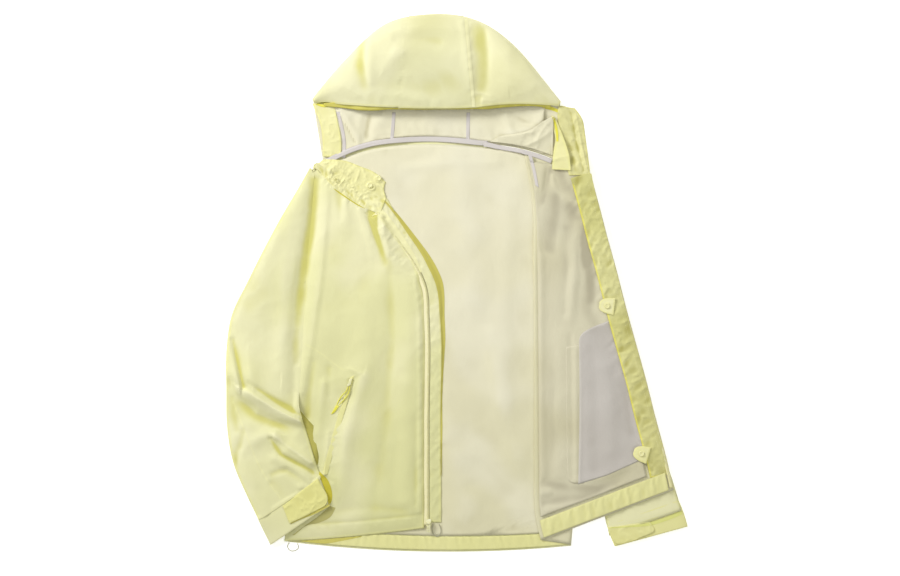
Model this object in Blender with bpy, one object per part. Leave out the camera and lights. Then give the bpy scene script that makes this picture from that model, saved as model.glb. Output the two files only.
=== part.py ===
"""Hooded windbreaker jacket, laid open on a flat surface.

Tables and sizes are in millimetres, meshes in metres. X runs across the jacket, Y from hem to hood,
Z up from the surface. Each cloth piece is laid in turn on what is already there.
"""
import math
from collections import namedtuple

import bmesh
import bpy
import numpy as np
from mathutils import Matrix, Vector

MM = 0.001

# Cloth and seams
SHELL = 1.3          # wall of a shell panel
LINING = 1.0         # wall of the lining, tapes and facings
BAND = 1.6           # doubled cloth: cuffs, flap, tabs
SEAM = 0.36          # between two panels that are sewn edge to edge
REST = 0.35          # between a piece and what it lies on
LOOSE = 0.6          # the same, for a large panel
BRIM_GAP = 1.1       # between the brim and its facing, which it springs away from

# Fittings
SNAP_ACROSS, SNAP_HEIGHT = 9.0, 2.2
SLIDER_WIDTH, SLIDER_LENGTH, SLIDER_HEIGHT = 9.0, 13.0, 3.2
TAB_WIDTH, TAB_LENGTH, TAB_THICK = 6.0, 17.0, 1.4
TAB_DROP = 2.4                   # how far the tab's end hangs below the rest of it
TAB_HOLE = 2.8
PIN_ACROSS = 1.5
CORD_ACROSS = 1.6

UNDERARM = -108.0    # height at which the sleeves leave the body

# Where the stack of laid pieces is measured
PITCH = 1.5
STACK_LEFT, STACK_RIGHT, STACK_LOW, STACK_HIGH = -430.0, 430.0, -495.0, 495.0

# An edge is a smooth curve: rows of (y, x), or of (x, y) for one that runs across
RIGHT_SIDE = ((-452, -302), (-388, -294), (-275, -283), (-170, -274), (-108, -270), (-21, -265), (58, -260),
              (131, -253), (201, -248))
FRONT_ZIP = ((-429, -57), (-240, -57), (-60, -57), (-8, -61), (26, -76), (70, -106), (98, -127), (126, -150))
LEFT_SIDE = ((-460, 200), (-380, 207), (-292, 214), (-205, 220), (-108, 221), (-21, 213), (58, 199),
             (136, 178), (201, 146))
NECK = ((-248, 201), (-195, 229), (-148, 244), (-99, 250), (-46, 252), (6, 249), (55, 243), (90, 239),
        (120, 233), (144, 226), (171, 215), (199, 197))
LEFT_FOLD = ((-453, 146), (-412, 136), (-327, 134), (-170, 134), (58, 133), (130, 132), (180, 126),
             (226, 116))
LEFT_ZIP = ((-362, 379), (-308, 367), (-234, 347), (-166, 330), (-102, 312), (-40, 295), (23, 279),
            (84, 262), (131, 250), (164, 241), (196, 234))

# A span is one line of cells across a panel: its height at the left and right edge, and its bow midway
Span = namedtuple("Span", "left right bow")
# A section of a sleeve or strip: its two ends
Section = namedtuple("Section", "x0 y0 x1 y1")
# A fold is a ridge, or a trough where its height is negative, with its own width on each side of its line
Fold = namedtuple("Fold", "x0 y0 x1 y1 left right height")
# A section of the hood: the neck seam, the crown fold, the brim, and how far the crown stands up
HoodRow = namedtuple("HoodRow", "neck_x neck_y crown_x crown_y brim_x brim_y puff")

BACK_SPANS = (Span(-452, -460, -14), Span(-275, -292, -6), Span(-108, -108, 0), Span(58, 58, 10),
              Span(201, 201, 46))
BACK_LINING_FOLDS = (
    Fold(20, 120, 40, -300, 40, 34, 1.6),
    Fold(100, 60, 92, -260, 20, 24, 1.4),
    Fold(-20, 200, 60, 214, 12, 12, 1.4),
)
RIGHT_FRONT_SPANS = (Span(-452, -429, -3), Span(-388, -364, 0), Span(-275, -240, 0), Span(-170, -140, 0),
                     Span(-108, -88, 0), Span(-21, -35, 0), Span(58, 26, -2), Span(131, 76, -6),
                     Span(199, 124, -8))
RIGHT_FRONT_FOLDS = (
    Fold(-148, 118, -118, 32, 14, 7, 4.5),
    Fold(-160, 110, -138, 30, 8, 14, -1.6),
    Fold(-205, 146, -196, 96, 12, 16, 2.6),
    Fold(-222, 60, -232, -90, 26, 30, 2.2),
    Fold(-128, -60, -118, -330, 24, 20, -1.5),
    Fold(-164, -40, -160, -250, 34, 26, 1.8),
    Fold(-88, -90, -82, -400, 14, 18, 2.2),
    Fold(-184, -160, -150, -134, 9, 12, 3.2),
    Fold(-190, -250, -212, -345, 18, 16, 3.0),
    Fold(-140, -392, -70, -380, 12, 20, 1.4),
)
RIGHT_SLEEVE = (
    Section(-349, -410, -240, -337), Section(-368, -369, -244, -322), Section(-390, -318, -252, -296),
    Section(-402, -250, -262, -262), Section(-403, -186, -272, -228),
    Section(-403, -120, -275.6, -178), Section(-394, -56, -272.4, -126), Section(-368, -2, -268, -70),
    Section(-338, 58, -262, 18), Section(-308, 114, -257.4, 86), Section(-276, 168, -253, 134),
    Section(-258, 200, -249.6, 186))
# Cloth of the under sleeve that stands out past the elbow fold: rows of (y, how far)
SLEEVE_TUCK = ((-460, 0), (-330, 0), (-300, 9), (-262, 24), (-242, 10), (-226, 0), (210, 0))
RIGHT_SLEEVE_FOLDS = (
    Fold(-380, -180, -272, -238, 44, 6, 6.5),
    Fold(-376, -110, -362, -182, 16, 8, 3.4),
    Fold(-398, -172, -290, -262, 8, 18, -2.2),
    Fold(-330, -262, -304, -300, 12, 7, 4.0),
    Fold(-304, -300, -254, -318, 14, 6, 4.6),
    Fold(-352, -246, -392, -300, 12, 14, 2.6),
    Fold(-312, -334, -272, -352, 14, 10, 2.2),
    Fold(-322, 60, -350, -60, 26, 26, 2.4),
    Fold(-276, 120, -300, -60, 16, 22, -1.8),
    Fold(-372, -330, -330, -420, 14, 16, 2.4),
)
RIGHT_CUFF = (Section(-349, -410, -240, -337), Section(-338, -434, -231, -361),
              Section(-326, -458.5, -221, -387))
RIGHT_CUFF_TAB = (Section(-304, -390, -292, -420), Section(-272, -364, -258, -404),
                  Section(-243, -341, -225, -385))

LEFT_SLEEVE = (
    Section(262, -424, 388, -380), Section(249, -358, 374, -334), Section(238, -275, 350, -268),
    Section(229, -187, 327, -184), Section(223, -108, 304, -108), Section(215.6, -24, 281, -26),
    Section(201.6, 54, 259, 52), Section(181, 128, 236, 124), Section(164, 166, 214, 164))
LEFT_CUFF = (Section(262, -424, 388, -380), Section(268, -442, 397, -402), Section(276, -461, 404, -426))
LEFT_CUFF_TAB = (Section(264, -428, 274, -459), Section(302, -422, 309, -450), Section(337, -418, 350, -434))

LEFT_FRONT_SPANS = (Span(-450, -362, 0), Span(-401, -312, 0), Span(-327, -234, 0), Span(-248, -166, 0),
                    Span(-170, -102, 0), Span(-91, -40, 0), Span(-12, 23, 0), Span(58, 84, 0),
                    Span(119, 131, 0), Span(176, 164, 4), Span(224, 186, 8))
UNTURNED_SPANS = (Span(-450, -458, 0), Span(-327, -322, 0), Span(-170, -178, 0), Span(-12, -30, 0),
                  Span(119, 119, 0), Span(196, 190, 4))
LEFT_FRONT_FOLDS = (
    Fold(150, -40, 156, -330, 18, 24, -1.2),
    Fold(150, 170, 146, 20, 7, 12, 3.2),
    Fold(176, 150, 168, 60, 8, 12, 2.6),
    Fold(210, 120, 222, 10, 14, 18, 1.8),
    Fold(196, 20, 204, -150, 22, 22, 2.0),
    Fold(256, -20, 290, -150, 16, 14, 1.8),
    Fold(240, -180, 262, -300, 22, 16, 1.6),
    Fold(166, -380, 240, -372, 12, 14, 1.8),
)

HOOD = (
    HoodRow(-234, 209, -252, 319, -249, 312, 2),
    HoodRow(-212, 220, -230, 349, -218, 311, 10),
    HoodRow(-187, 232, -192, 392, -186, 310, 20),
    HoodRow(-150, 243, -157, 427, -162, 308, 28),
    HoodRow(-115, 249, -127, 451, -146, 307, 33),
    HoodRow(-46, 252, -52, 468.5, -57, 303, 36),
    HoodRow(18, 248, 15, 464.5, 29, 305, 36),
    HoodRow(62, 242, 57, 448, 71, 310, 31),
    HoodRow(104, 236, 106, 408, 112, 312, 24),
    HoodRow(143, 226, 146, 360, 150, 311, 14),
    HoodRow(176, 212, 181, 316, 179, 309, 2),
)
# Down the hood from the neck seam over the crown to the brim: how far out towards the crown, and how high
HOOD_SECTION = ((0.0, 0.0), (0.25, 0.0), (0.5, 0.0), (0.75, 0.0), (0.93, 0.02), (0.985, 0.14), (1.0, 0.34),
                (0.985, 0.56), (0.93, 0.76), (0.8, 0.93), (0.6, 1.0), (0.4, 0.93), (0.2, 0.74), (0.0, 0.5))
HOOD_CROWN_STATION = 6
HOOD_LOWER_STATIONS = 4
HOOD_SEAM_LEFT, HOOD_SEAM_RIGHT = 4, 6      # rows of HOOD where the side panels meet the centre panel
HOOD_LINES_PER_ROW = 2
HOOD_FOLDS = (
    Fold(-160, 420, -156, 350, 18, 12, 3.0),
    Fold(34, 440, 40, 340, 7, 14, -2.6),
    Fold(22, 440, 26, 330, 8, 6, 2.0),
    Fold(-100, 350, 20, 336, 22, 26, -2.4),
    Fold(-120, 410, -60, 388, 20, 16, 2.2),
    Fold(110, 345, 60, 318, 10, 12, 2.4),
    Fold(-40, 424, 40, 410, 12, 16, -1.6),
)
HOOD_LINING_FOLDS = (
    Fold(-200, 299, -176, 246, 6, 10, 3.0),
    Fold(-128, 300, -150, 262, 12, 10, 2.0),
    Fold(82, 262, 112, 260, 9, 7, 3.0),
    Fold(112, 260, 150, 284, 9, 7, 3.4),
)
COLLAR_FOLDS = (
    Fold(-236, 206, -214, 178, 6, 6, 2.6),
    Fold(-214, 200, -196, 166, 6, 5, 2.6),
    Fold(-196, 190, -168, 166, 7, 5, 2.4),
    Fold(-176, 196, -150, 176, 5, 6, 1.8),
    Fold(-204, 160, -150, 130, 5, 5, 1.6),
)
RIGHT_COLLAR = (Section(-243, 198, -233, 216), Section(-226, 177, -212, 215.4), Section(-212, 165, -196, 214),
                Section(-190, 149, -170, 204), Section(-169, 137, -145, 194), Section(-149.6, 127, -124, 176))
POCKET_BAG = (Section(226, -352, 334, -304), Section(228, -222, 308, -208), Section(227, -86, 272, -62))
POCKET_BAND = (Section(193, -353, 222, -350), Section(191, -230, 222, -228), Section(190, -112, 222, -106))
LEFT_COLLAR = (Section(196, 187.6, 233, 187.6), Section(188, 216, 230, 216), Section(181, 262, 224, 262),
               Section(176, 290, 219, 290), Section(184, 304, 206, 306))
COLLAR_LINING = (Section(58, 247, 76, 257), Section(92, 243, 104, 261), Section(122, 237, 130, 268),
                 Section(146, 230, 150, 282), Section(168, 222, 169, 292))
CHIN_TAB = (Section(174, 198, 199, 196), Section(176, 226, 196, 224), Section(180, 252, 190, 252),
            Section(172, 284, 180, 288))
COLLAR_LINING_FOLDS = (
    Fold(76, 257, 108, 260, 5, 9, 2.4),
    Fold(108, 260, 168, 290, 5, 10, 3.0),
    Fold(100, 246, 140, 252, 8, 8, 1.2),
    Fold(130, 240, 162, 262, 7, 9, 1.6),
)
HOOD_FACING = (Section(-234, 221, -203, 219), Section(-235, 250, -202, 248), Section(-238, 276, -206, 272),
               Section(-247, 300, -214, 300))
HOOD_FACING_TAPE = (Section(-201, 219, -195, 219), Section(-200, 248, -194, 247),
                    Section(-204, 272, -198, 271), Section(-211, 299, -205, 299))
HOOD_TAPE_RIGHT = (Section(-117, 246, -111, 246), Section(-113, 298, -107, 298))
HOOD_TAPE_LEFT = (Section(16, 246, 22, 246), Section(17, 298, 23, 298))
RAGLAN_TAPE = (Section(137, 170, 143, 166), Section(131, 200, 137, 198), Section(124, 224, 131, 222))
POCKET_WELT = (Section(-236, -338, -226, -335), Section(-216, -262, -206, -259),
               Section(-192, -182, -183, -179), Section(-187, -164, -179, -162))
POCKET_SLIDER = (Section(-192, -181, -186, -179), Section(-188, -168, -182, -166))
PULLER_TIP = (Section(-220, -230, -214, -227), Section(-211, -213.5, -205, -215))

# A snap tab: where its snap sits and the turn of the tab
SnapTab = namedtuple("SnapTab", "name x y turn")
SNAP_TABS = (SnapTab("upper", 262, -40, -0.12), SnapTab("lower", 322, -298, -0.28))
SNAP_TAB_SHAPE = ((-14, 5), (-11.5, 9), (-6, 12), (2, 14), (13, 15))     # ahead of the snap, half width

# Small trim
Spot = namedtuple("Spot", "name x y")
COLLAR_SNAPS = (Spot("collar_snap_upper", -137, 183), Spot("collar_snap_lower", -152, 171))
EYELET = Spot("cord_eyelet", -211, 180)
EYELET_ACROSS, EYELET_WIRE = 6.0, 1.6
ZIP_COIL_HEIGHT = 1.7
CUFF_MOUTH = 0.5         # how much higher the upper side of a cuff stands than its edges
FRONT_BEND = 3.2         # from the left front's turned edge to its fold's middle
TRIM_THICK = 2.4
SLIDER_AT = (-49.4, -419.0)
PULLER_STRAND_A = ((-190.6, -182), (-192, -187), (-199, -195), (-205.5, -204), (-209.6, -212.8))
PULLER_STRAND_B = ((-187.2, -180.9), (-187.4, -186), (-191, -196), (-199, -206), (-206.2, -213.3))
HEM_LOOP_SIDE = ((-293, -454.4), (-296.5, -461), (-291.5, -468.4), (-283.5, -468.4), (-277, -463),
                 (-279, -456.2))
HEM_LOOP_FRONT = ((-41, -421.6), (-43, -430), (-41, -439), (-35, -443.5), (-29, -439), (-28, -430),
                  (-31, -421.6))


# ---------------------------------------------------------------- curves and folds

def smooth(rows, at):
    """Values of a smooth curve through rows of (position, value)."""
    table = np.array(sorted(rows), float)
    keys, values = table[:, 0], table[:, 1]
    slopes = np.gradient(values, keys)
    at = np.clip(np.asarray(at, float), keys[0], keys[-1])
    i = np.clip(np.searchsorted(keys, at, side="right") - 1, 0, len(keys) - 2)
    step = keys[i + 1] - keys[i]
    t = (at - keys[i]) / step
    return (values[i] * (1 + 2 * t) * (1 - t) ** 2 + slopes[i] * step * t * (1 - t) ** 2
            + values[i + 1] * t * t * (3 - 2 * t) + slopes[i + 1] * step * t * t * (t - 1))


def between(rows, count):
    """The rows of a table, as `count` evenly spaced rows read from smooth curves through their columns."""
    table = np.array(rows, float)
    middle = table[:, :4].reshape(len(table), -1)
    travel = np.concatenate([[0], np.cumsum(np.linalg.norm(np.diff(middle, axis=0), axis=1))])
    at = np.linspace(0, travel[-1], count)
    return np.stack([smooth(list(zip(travel, column)), at) for column in table.T], axis=1)


def relief(folds, x, y):
    """Height that a table of folds adds at x, y."""
    total = np.zeros_like(x)
    for fold in folds:
        dx, dy = fold.x1 - fold.x0, fold.y1 - fold.y0
        length = math.hypot(dx, dy)
        along = np.clip(((x - fold.x0) * dx + (y - fold.y0) * dy) / length ** 2, 0, 1)
        off = np.hypot(x - fold.x0 - along * dx, y - fold.y0 - along * dy)
        side = (y - fold.y0) * dx - (x - fold.x0) * dy
        width = np.where(side > 0, fold.left, fold.right)
        total += fold.height * np.exp(-(off / width) ** 2)
    return total


def puckers(edge, low, high, spacing, offset, length, height):
    """Short slanting ridges along an edge, as an elastic or tight seam pulls into the cloth."""
    folds = []
    count = int((high - low) / spacing)
    for i in range(count):
        y = low + spacing * (i + 0.35 * math.sin(2.4 * i))
        x = float(smooth(edge, y)) + offset
        reach = length * (0.75 + 0.35 * math.sin(1.7 * i + 1))
        folds.append(Fold(x, y, x + reach, y + 0.8 * reach, 4, 5, height * (0.7 + 0.3 * math.cos(2.9 * i))))
    return tuple(folds)


# ---------------------------------------------------------------- plans of the panels

def edge_panel(left, right, spans, columns, lines):
    """Plan of a panel between two edges: an array of lines and columns of x, y."""
    rows = between(spans, lines)
    u = np.linspace(0, 1, columns)
    x0, x1 = smooth(left, rows[:, 0]), smooth(right, rows[:, 1])
    x = x0[:, None] * (1 - u) + x1[:, None] * u
    y = rows[:, 0, None] * (1 - u) + rows[:, 1, None] * u + rows[:, 2, None] * 4 * u * (1 - u)
    return np.stack([x, y], axis=2)


def section_panel(sections, columns, lines):
    """Plan of a panel that runs through a table of sections."""
    rows = between(sections, lines)
    u = np.linspace(0, 1, columns)[None, :, None]
    return rows[:, None, 0:2] * (1 - u) + rows[:, None, 2:4] * u


def strip(edge, low, high, inner, outer, columns, lines, across=False):
    """Plan of a strip beside an edge, from `inner` to `outer` off it."""
    at = np.linspace(low, high, lines)
    value = smooth(edge, at)
    slope = np.gradient(value, at)
    length = np.hypot(slope, 1)
    off = np.linspace(inner, outer, columns)
    key = at[:, None] - off * (slope / length)[:, None]
    other = value[:, None] + off * (1 / length)[:, None]
    return np.stack([key, other] if across else [other, key], axis=2)


def drawn_in(plan, left=0.0, right=0.0, low=0.0, high=0.0):
    """The plan with its edges drawn in, as at a seam."""
    plan = plan.copy()
    for edge, inside, amount in ((plan[:, 0], plan[:, 1], left), (plan[:, -1], plan[:, -2], right),
                                 (plan[0], plan[1], low), (plan[-1], plan[-2], high)):
        step = inside - edge
        edge += step / np.linalg.norm(step, axis=1)[:, None] * amount
    return plan


def on_seam(plan, column, side, gap):
    """The plan with the raglan stretch of one edge column set on the seam of the body."""
    plan = plan.copy()
    edge = plan[:, column]
    sewn = edge[:, 1] > UNDERARM
    edge[sewn, 0] = smooth(side, edge[sewn, 1]) + gap
    return plan


def part_of(plan, lines=(0.0, 1.0), columns=(0.0, 1.0), count=None):
    """A piece of a plan, from shares of its lines and columns."""
    shape = plan.shape
    rows = np.linspace(lines[0], lines[1], count[0]) * (shape[0] - 1)
    cols = np.linspace(columns[0], columns[1], count[1]) * (shape[1] - 1)
    r = np.clip(rows.astype(int), 0, shape[0] - 2)
    c = np.clip(cols.astype(int), 0, shape[1] - 2)
    v, u = (rows - r)[:, None, None], (cols - c)[None, :, None]
    a, b = plan[r][:, c], plan[r][:, c + 1]
    d, e = plan[r + 1][:, c], plan[r + 1][:, c + 1]
    return (a * (1 - u) + b * u) * (1 - v) + (d * (1 - u) + e * u) * v


# ---------------------------------------------------------------- laying a piece on the others

def filled(grid):
    """Points that fill every cell of a grid at less than one pitch apart."""
    a, b, c, d = grid[:-1, :-1], grid[:-1, 1:], grid[1:, :-1], grid[1:, 1:]
    size = max(np.abs(b - a)[..., :2].max(), np.abs(d - c)[..., :2].max(),
               np.abs(c - a)[..., :2].max(), np.abs(d - b)[..., :2].max())
    steps = int(size / PITCH * 1.3) + 2
    for v in np.linspace(0, 1, steps):
        for u in np.linspace(0, 1, steps):
            yield (a * (1 - u) + b * u) * (1 - v) + (c * (1 - u) + d * u) * v


def shifted(field, rows, cols, fill):
    moved = np.full_like(field, fill)
    height, width = field.shape
    moved[max(rows, 0):height + min(rows, 0), max(cols, 0):width + min(cols, 0)] = \
        field[max(-rows, 0):height + min(-rows, 0), max(-cols, 0):width + min(-cols, 0)]
    return moved


class Stack:
    """Heights of the pieces laid so far, on a fine grid over the surface."""

    def __init__(self):
        rows = int((STACK_HIGH - STACK_LOW) / PITCH)
        columns = int((STACK_RIGHT - STACK_LEFT) / PITCH)
        self.top = np.zeros((rows, columns))

    def cell(self, points):
        column = ((points[..., 0] - STACK_LEFT) / PITCH).astype(int)
        row = ((points[..., 1] - STACK_LOW) / PITCH).astype(int)
        return row, column

    def add(self, surface):
        """Lay the upper face of a piece on the stack."""
        for points in filled(surface):
            np.maximum.at(self.top, self.cell(points), points[..., 2])

    def near(self, x, y, reach):
        """Height of the stack within a short reach of x, y."""
        row, column = self.cell(np.array((x, y)))
        cells = int(reach / PITCH) + 1
        return float(self.top[row - cells:row + cells + 1, column - cells:column + cells + 1].max())

    def under(self, plan, gap, rim=1):
        """Lowest heights at which a piece of this plan clears all that lies under it."""
        inside = np.zeros(self.top.shape, bool)
        for points in filled(plan):
            inside[self.cell(points)] = True
        for _ in range(rim):
            inside = (inside & shifted(inside, 1, 0, False) & shifted(inside, -1, 0, False)
                      & shifted(inside, 0, 1, False) & shifted(inside, 0, -1, False))
        ground = np.where(inside, self.top, 0)
        across = max(np.abs(np.diff(plan, axis=0)).max(axis=(0, 1)).tolist())
        along = max(np.abs(np.diff(plan, axis=1)).max(axis=(0, 1)).tolist())
        cells = int(max(across, along) / PITCH) + 1
        for axis in (0, 1):
            widest = ground
            for step in range(1, cells + 1):
                for way in (step, -step):
                    widest = np.maximum(widest, shifted(ground, *((way, 0) if axis == 0 else (0, way)), 0))
            ground = widest
        height = ground[self.cell(plan)]
        return np.where(height > 0, height + gap, 0)


def relaxed(height, rounds):
    """Heights smoothed like cloth that bridges steps, and never lower than given."""
    soft = height.copy()
    for _ in range(rounds):
        padded = np.pad(soft, 1, mode="edge")
        mean = (padded[:-2, 1:-1] + padded[2:, 1:-1] + padded[1:-1, :-2] + padded[1:-1, 2:]) / 4
        soft = np.maximum(height, 0.5 * soft + 0.5 * mean)
    return soft


def puffed(shape, amount):
    """Air under a panel, none at its edges."""
    v, u = np.linspace(-1, 1, shape[0])[:, None], np.linspace(-1, 1, shape[1])[None, :]
    return amount * (1 - v ** 8) * (1 - u ** 6)


def normals_of(grid):
    across = np.gradient(grid, axis=1)
    along = np.gradient(grid, axis=0)
    normal = np.cross(across, along)
    return normal / np.linalg.norm(normal, axis=2)[..., None]


def laid(stack, plan, thick, gap=REST, folds=(), puff=0.0, rounds=6, rim=1):
    """Upper and lower face of a piece of cloth laid on the stack."""
    low = relaxed(stack.under(plan, gap, rim), rounds)
    air = puffed(low.shape, puff) + relief(folds, plan[..., 0], plan[..., 1])
    low = low + np.maximum(air, 0)
    lower = np.dstack([plan, low])
    upright = np.abs(normals_of(lower)[..., 2])
    upper = lower.copy()
    upper[..., 2] += thick / np.clip(upright, 0.6, 1)
    stack.add(upper)
    return upper, lower


# ---------------------------------------------------------------- solids

def paint(name, colour, roughness, metallic=0.0):
    material = bpy.data.materials.new(name)
    material.use_nodes = True
    shader = material.node_tree.nodes["Principled BSDF"]
    shader.inputs["Base Color"].default_value = (*colour, 1)
    shader.inputs["Roughness"].default_value = roughness
    shader.inputs["Metallic"].default_value = metallic
    material.diffuse_color = (*colour, 1)
    return material


def add_object(name, mesh, material, parent=None):
    mesh.materials.append(material)
    item = bpy.data.objects.new(name, mesh)
    item.parent = parent
    bpy.context.scene.collection.objects.link(item)
    return item


def finish_mesh(name, shape, material, parent=None, sharp=40):
    bmesh.ops.recalc_face_normals(shape, faces=shape.faces)
    if shape.calc_volume(signed=True) < 0:
        bmesh.ops.reverse_faces(shape, faces=shape.faces)
    mesh = bpy.data.meshes.new(name)
    shape.to_mesh(mesh)
    shape.free()
    mesh.shade_smooth()
    mesh.set_sharp_from_angle(angle=math.radians(sharp))
    return add_object(name, mesh, material, parent)


def wall(name, outer, inner, material):
    """A closed wall between two faces of the same grid."""
    lines, columns = outer.shape[:2]
    shape = bmesh.new()
    station = shape.verts.layers.int.new("station")
    bmesh.ops.create_grid(shape, x_segments=columns - 1, y_segments=lines - 1, size=0.5)
    for vert in shape.verts:
        row = round((vert.co.y + 0.5) * (lines - 1))
        column = round((vert.co.x + 0.5) * (columns - 1))
        vert[station] = row * columns + column
    raised = bmesh.ops.extrude_face_region(shape, geom=shape.faces[:], use_keep_orig=True)
    inside = {item for item in raised["geom"] if isinstance(item, bmesh.types.BMVert)}
    for vert in shape.verts:
        face = inner if vert in inside else outer
        vert.co = Vector(face[divmod(vert[station], columns)]) * MM
    return finish_mesh(name, shape, material)


def flat_tube(name, rings, material):
    """A closed wall round a flattened tube: rings[0] outside, rings[1] inside, each sections of points."""
    shape = bmesh.new()
    loops = []
    for surface in rings:
        loops.append([[shape.verts.new(Vector(point) * MM) for point in ring] for ring in surface])
    count = len(rings[0][0])
    for surface in loops:
        for low, high in zip(surface, surface[1:]):
            for i in range(count):
                j = (i + 1) % count
                shape.faces.new((low[i], low[j], high[j], high[i]))
    for end in (0, -1):
        for i in range(count):
            j = (i + 1) % count
            shape.faces.new((loops[0][end][i], loops[0][end][j], loops[1][end][j], loops[1][end][i]))
    return finish_mesh(name, shape, material)


def disc(name, centre, across, height, material, segments=14):
    """A low round cap with a rounded upper rim."""
    shape = bmesh.new()
    bmesh.ops.create_cone(shape, cap_ends=True, segments=segments, radius1=across / 2 * MM,
                          radius2=across / 2 * MM, depth=height * MM)
    top = [edge for edge in shape.edges if all(vert.co.z > 0 for vert in edge.verts)]
    bmesh.ops.bevel(shape, geom=top, offset=height * 0.35 * MM, segments=2, profile=0.5, affect="EDGES")
    bmesh.ops.translate(shape, verts=shape.verts, vec=Vector(centre) * MM + Vector((0, 0, height / 2 * MM)))
    return finish_mesh(name, shape, material)


def ring(name, centre, across, wire, material, segments=16, sides=6):
    """A small round eyelet lying flat."""
    shape = bmesh.new()
    profile = bmesh.ops.create_circle(shape, segments=sides, radius=wire / 2 * MM,
                                      matrix=Matrix.Translation((across / 2 * MM, 0, 0))
                                      @ Matrix.Rotation(math.pi / 2, 4, "X"))
    edges = list({edge for vert in profile["verts"] for edge in vert.link_edges})
    bmesh.ops.spin(shape, geom=profile["verts"] + edges, axis=(0, 0, 1), cent=(0, 0, 0), steps=segments,
                   angle=2 * math.pi, use_merge=True)
    bmesh.ops.remove_doubles(shape, verts=shape.verts, dist=0.01 * MM)
    bmesh.ops.translate(shape, verts=shape.verts, vec=Vector(centre) * MM + Vector((0, 0, wire / 2 * MM)))
    return finish_mesh(name, shape, material)


def cord(name, points, across, material):
    """A round cord through a line of points."""
    curve = bpy.data.curves.new(name, "CURVE")
    curve.dimensions = "3D"
    curve.bevel_depth = across / 2 * MM
    curve.bevel_resolution = 2
    curve.use_fill_caps = True
    spline = curve.splines.new("POLY")
    spline.points.add(len(points) - 1)
    for point, place in zip(spline.points, points):
        point.co = (*(place * MM), 1)
    return add_object(name, curve, material)


# ---------------------------------------------------------------- the jacket

def back_plan(columns, lines):
    """Plan of the back: its sides meet the sleeves, and its top line is the neck seam."""
    plan = edge_panel(RIGHT_SIDE, LEFT_SIDE, BACK_SPANS, columns, lines)
    share = np.clip(np.linspace(0, 1, lines) * 3 - 2, 0, 1)[:, None]
    rise = smooth(NECK, plan[-1, :, 0]) - plan[-1, :, 1]
    plan[..., 1] += rise * share
    return plan


def build_back(stack, cloth):
    plan = drawn_in(back_plan(13, 16), left=SEAM, right=SEAM, high=SEAM)
    upper, lower = laid(stack, plan, SHELL)
    wall("back", upper, lower, cloth["shell"])


def hood_grid():
    """Inner face of the whole hood, a line for each station round it."""
    rows = between(HOOD, (len(HOOD) - 1) * HOOD_LINES_PER_ROW + 1)
    rows[:, 1] = smooth(NECK, rows[:, 0])
    grid = np.zeros((len(HOOD_SECTION), len(rows), 3))
    for i, (reach, lift) in enumerate(HOOD_SECTION):
        start = rows[:, 0:2] if i < HOOD_CROWN_STATION else rows[:, 4:6]
        grid[i, :, 0:2] = start * (1 - reach) + rows[:, 2:4] * reach
        grid[i, :, 2] = SHELL + lift * (rows[:, 6] + LINING + 4)
    top = grid[HOOD_CROWN_STATION + 1:]
    grid[HOOD_CROWN_STATION + 1:, :, 2] += relief(HOOD_FOLDS, top[..., 0], top[..., 1]) * \
        np.minimum(1, rows[:, 6] / 20)
    return grid


def hood_seam_line(row):
    return row * HOOD_LINES_PER_ROW


def build_hood(stack, cloth):
    inner = hood_grid()
    outward = -normals_of(inner)
    upright = np.clip((np.abs(outward[..., 2]) - 0.45) / 0.4, 0, 1)[..., None]
    straight = np.zeros_like(outward)
    straight[..., 2] = np.sign(outward[..., 2]) / np.clip(np.abs(outward[..., 2]), 0.5, 1)
    offset = outward * (1 - upright) + straight * upright
    outer = inner + offset * SHELL
    outer[:, :, 2] = np.maximum(outer[:, :, 2], 0)
    outer[:HOOD_LOWER_STATIONS, :, 2] = 0
    first, second = hood_seam_line(HOOD_SEAM_LEFT), hood_seam_line(HOOD_SEAM_RIGHT)
    panels = (("hood_right_panel", 0, first), ("hood_centre_panel", first, second),
              ("hood_left_panel", second, inner.shape[1] - 1))
    for name, start, end in panels:
        faces = []
        for grid in (outer, inner):
            piece = grid[:, start:end + 1].copy()
            for edge, beside in ((0, 1), (-1, -2)):
                step = piece[:, beside] - piece[:, edge]
                piece[:, edge] += step / np.linalg.norm(step, axis=1)[:, None] * SEAM / 2
            step = piece[1] - piece[0]
            piece[0] += step / np.linalg.norm(step, axis=1)[:, None] * SEAM
            faces.append(piece)
        wall(name, faces[0], faces[1], cloth["shell"])
    stack.add(inner[:HOOD_LOWER_STATIONS + 1])
    return inner


def build_brim_facing(inner, cloth):
    """The turned-in edge of the brim, on the underside of the hood's top."""
    depth, margin = 0.62, 1
    brim, above = inner[-1], inner[-2]
    lines = []
    for share in (0.02, depth):
        place = brim * (1 - share) + above * share
        lines.append(place[margin:-margin])
    upper = np.stack(lines)
    upper[..., 2] -= BRIM_GAP
    lower = upper.copy()
    lower[..., 2] -= LINING
    wall("hood_brim_facing", upper, lower, cloth["facing"])


def build_hood_inside(stack, cloth):
    rows = between(HOOD, 15)[1:-1]
    share = np.array((0.02, 0.17, 0.34, 0.51, 0.7, 0.86))[:, None, None]
    plan = rows[None, :, 0:2] * (1 - share) + rows[None, :, 2:4] * share
    upper, lower = laid(stack, plan, LINING, folds=HOOD_LINING_FOLDS)
    wall("hood_lining", upper, lower, cloth["lining"])
    for name, sections, columns, lines, finish in (
            ("hood_tape_right", HOOD_TAPE_RIGHT, 2, 5, "tape"),
            ("hood_tape_left", HOOD_TAPE_LEFT, 2, 5, "tape"),
            ("hood_face_facing", HOOD_FACING, 3, 8, "facing"),
            ("hood_face_tape", HOOD_FACING_TAPE, 2, 8, "tape")):
        upper, lower = laid(stack, section_panel(sections, columns, lines), LINING)
        wall(name, upper, lower, cloth[finish])


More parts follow.
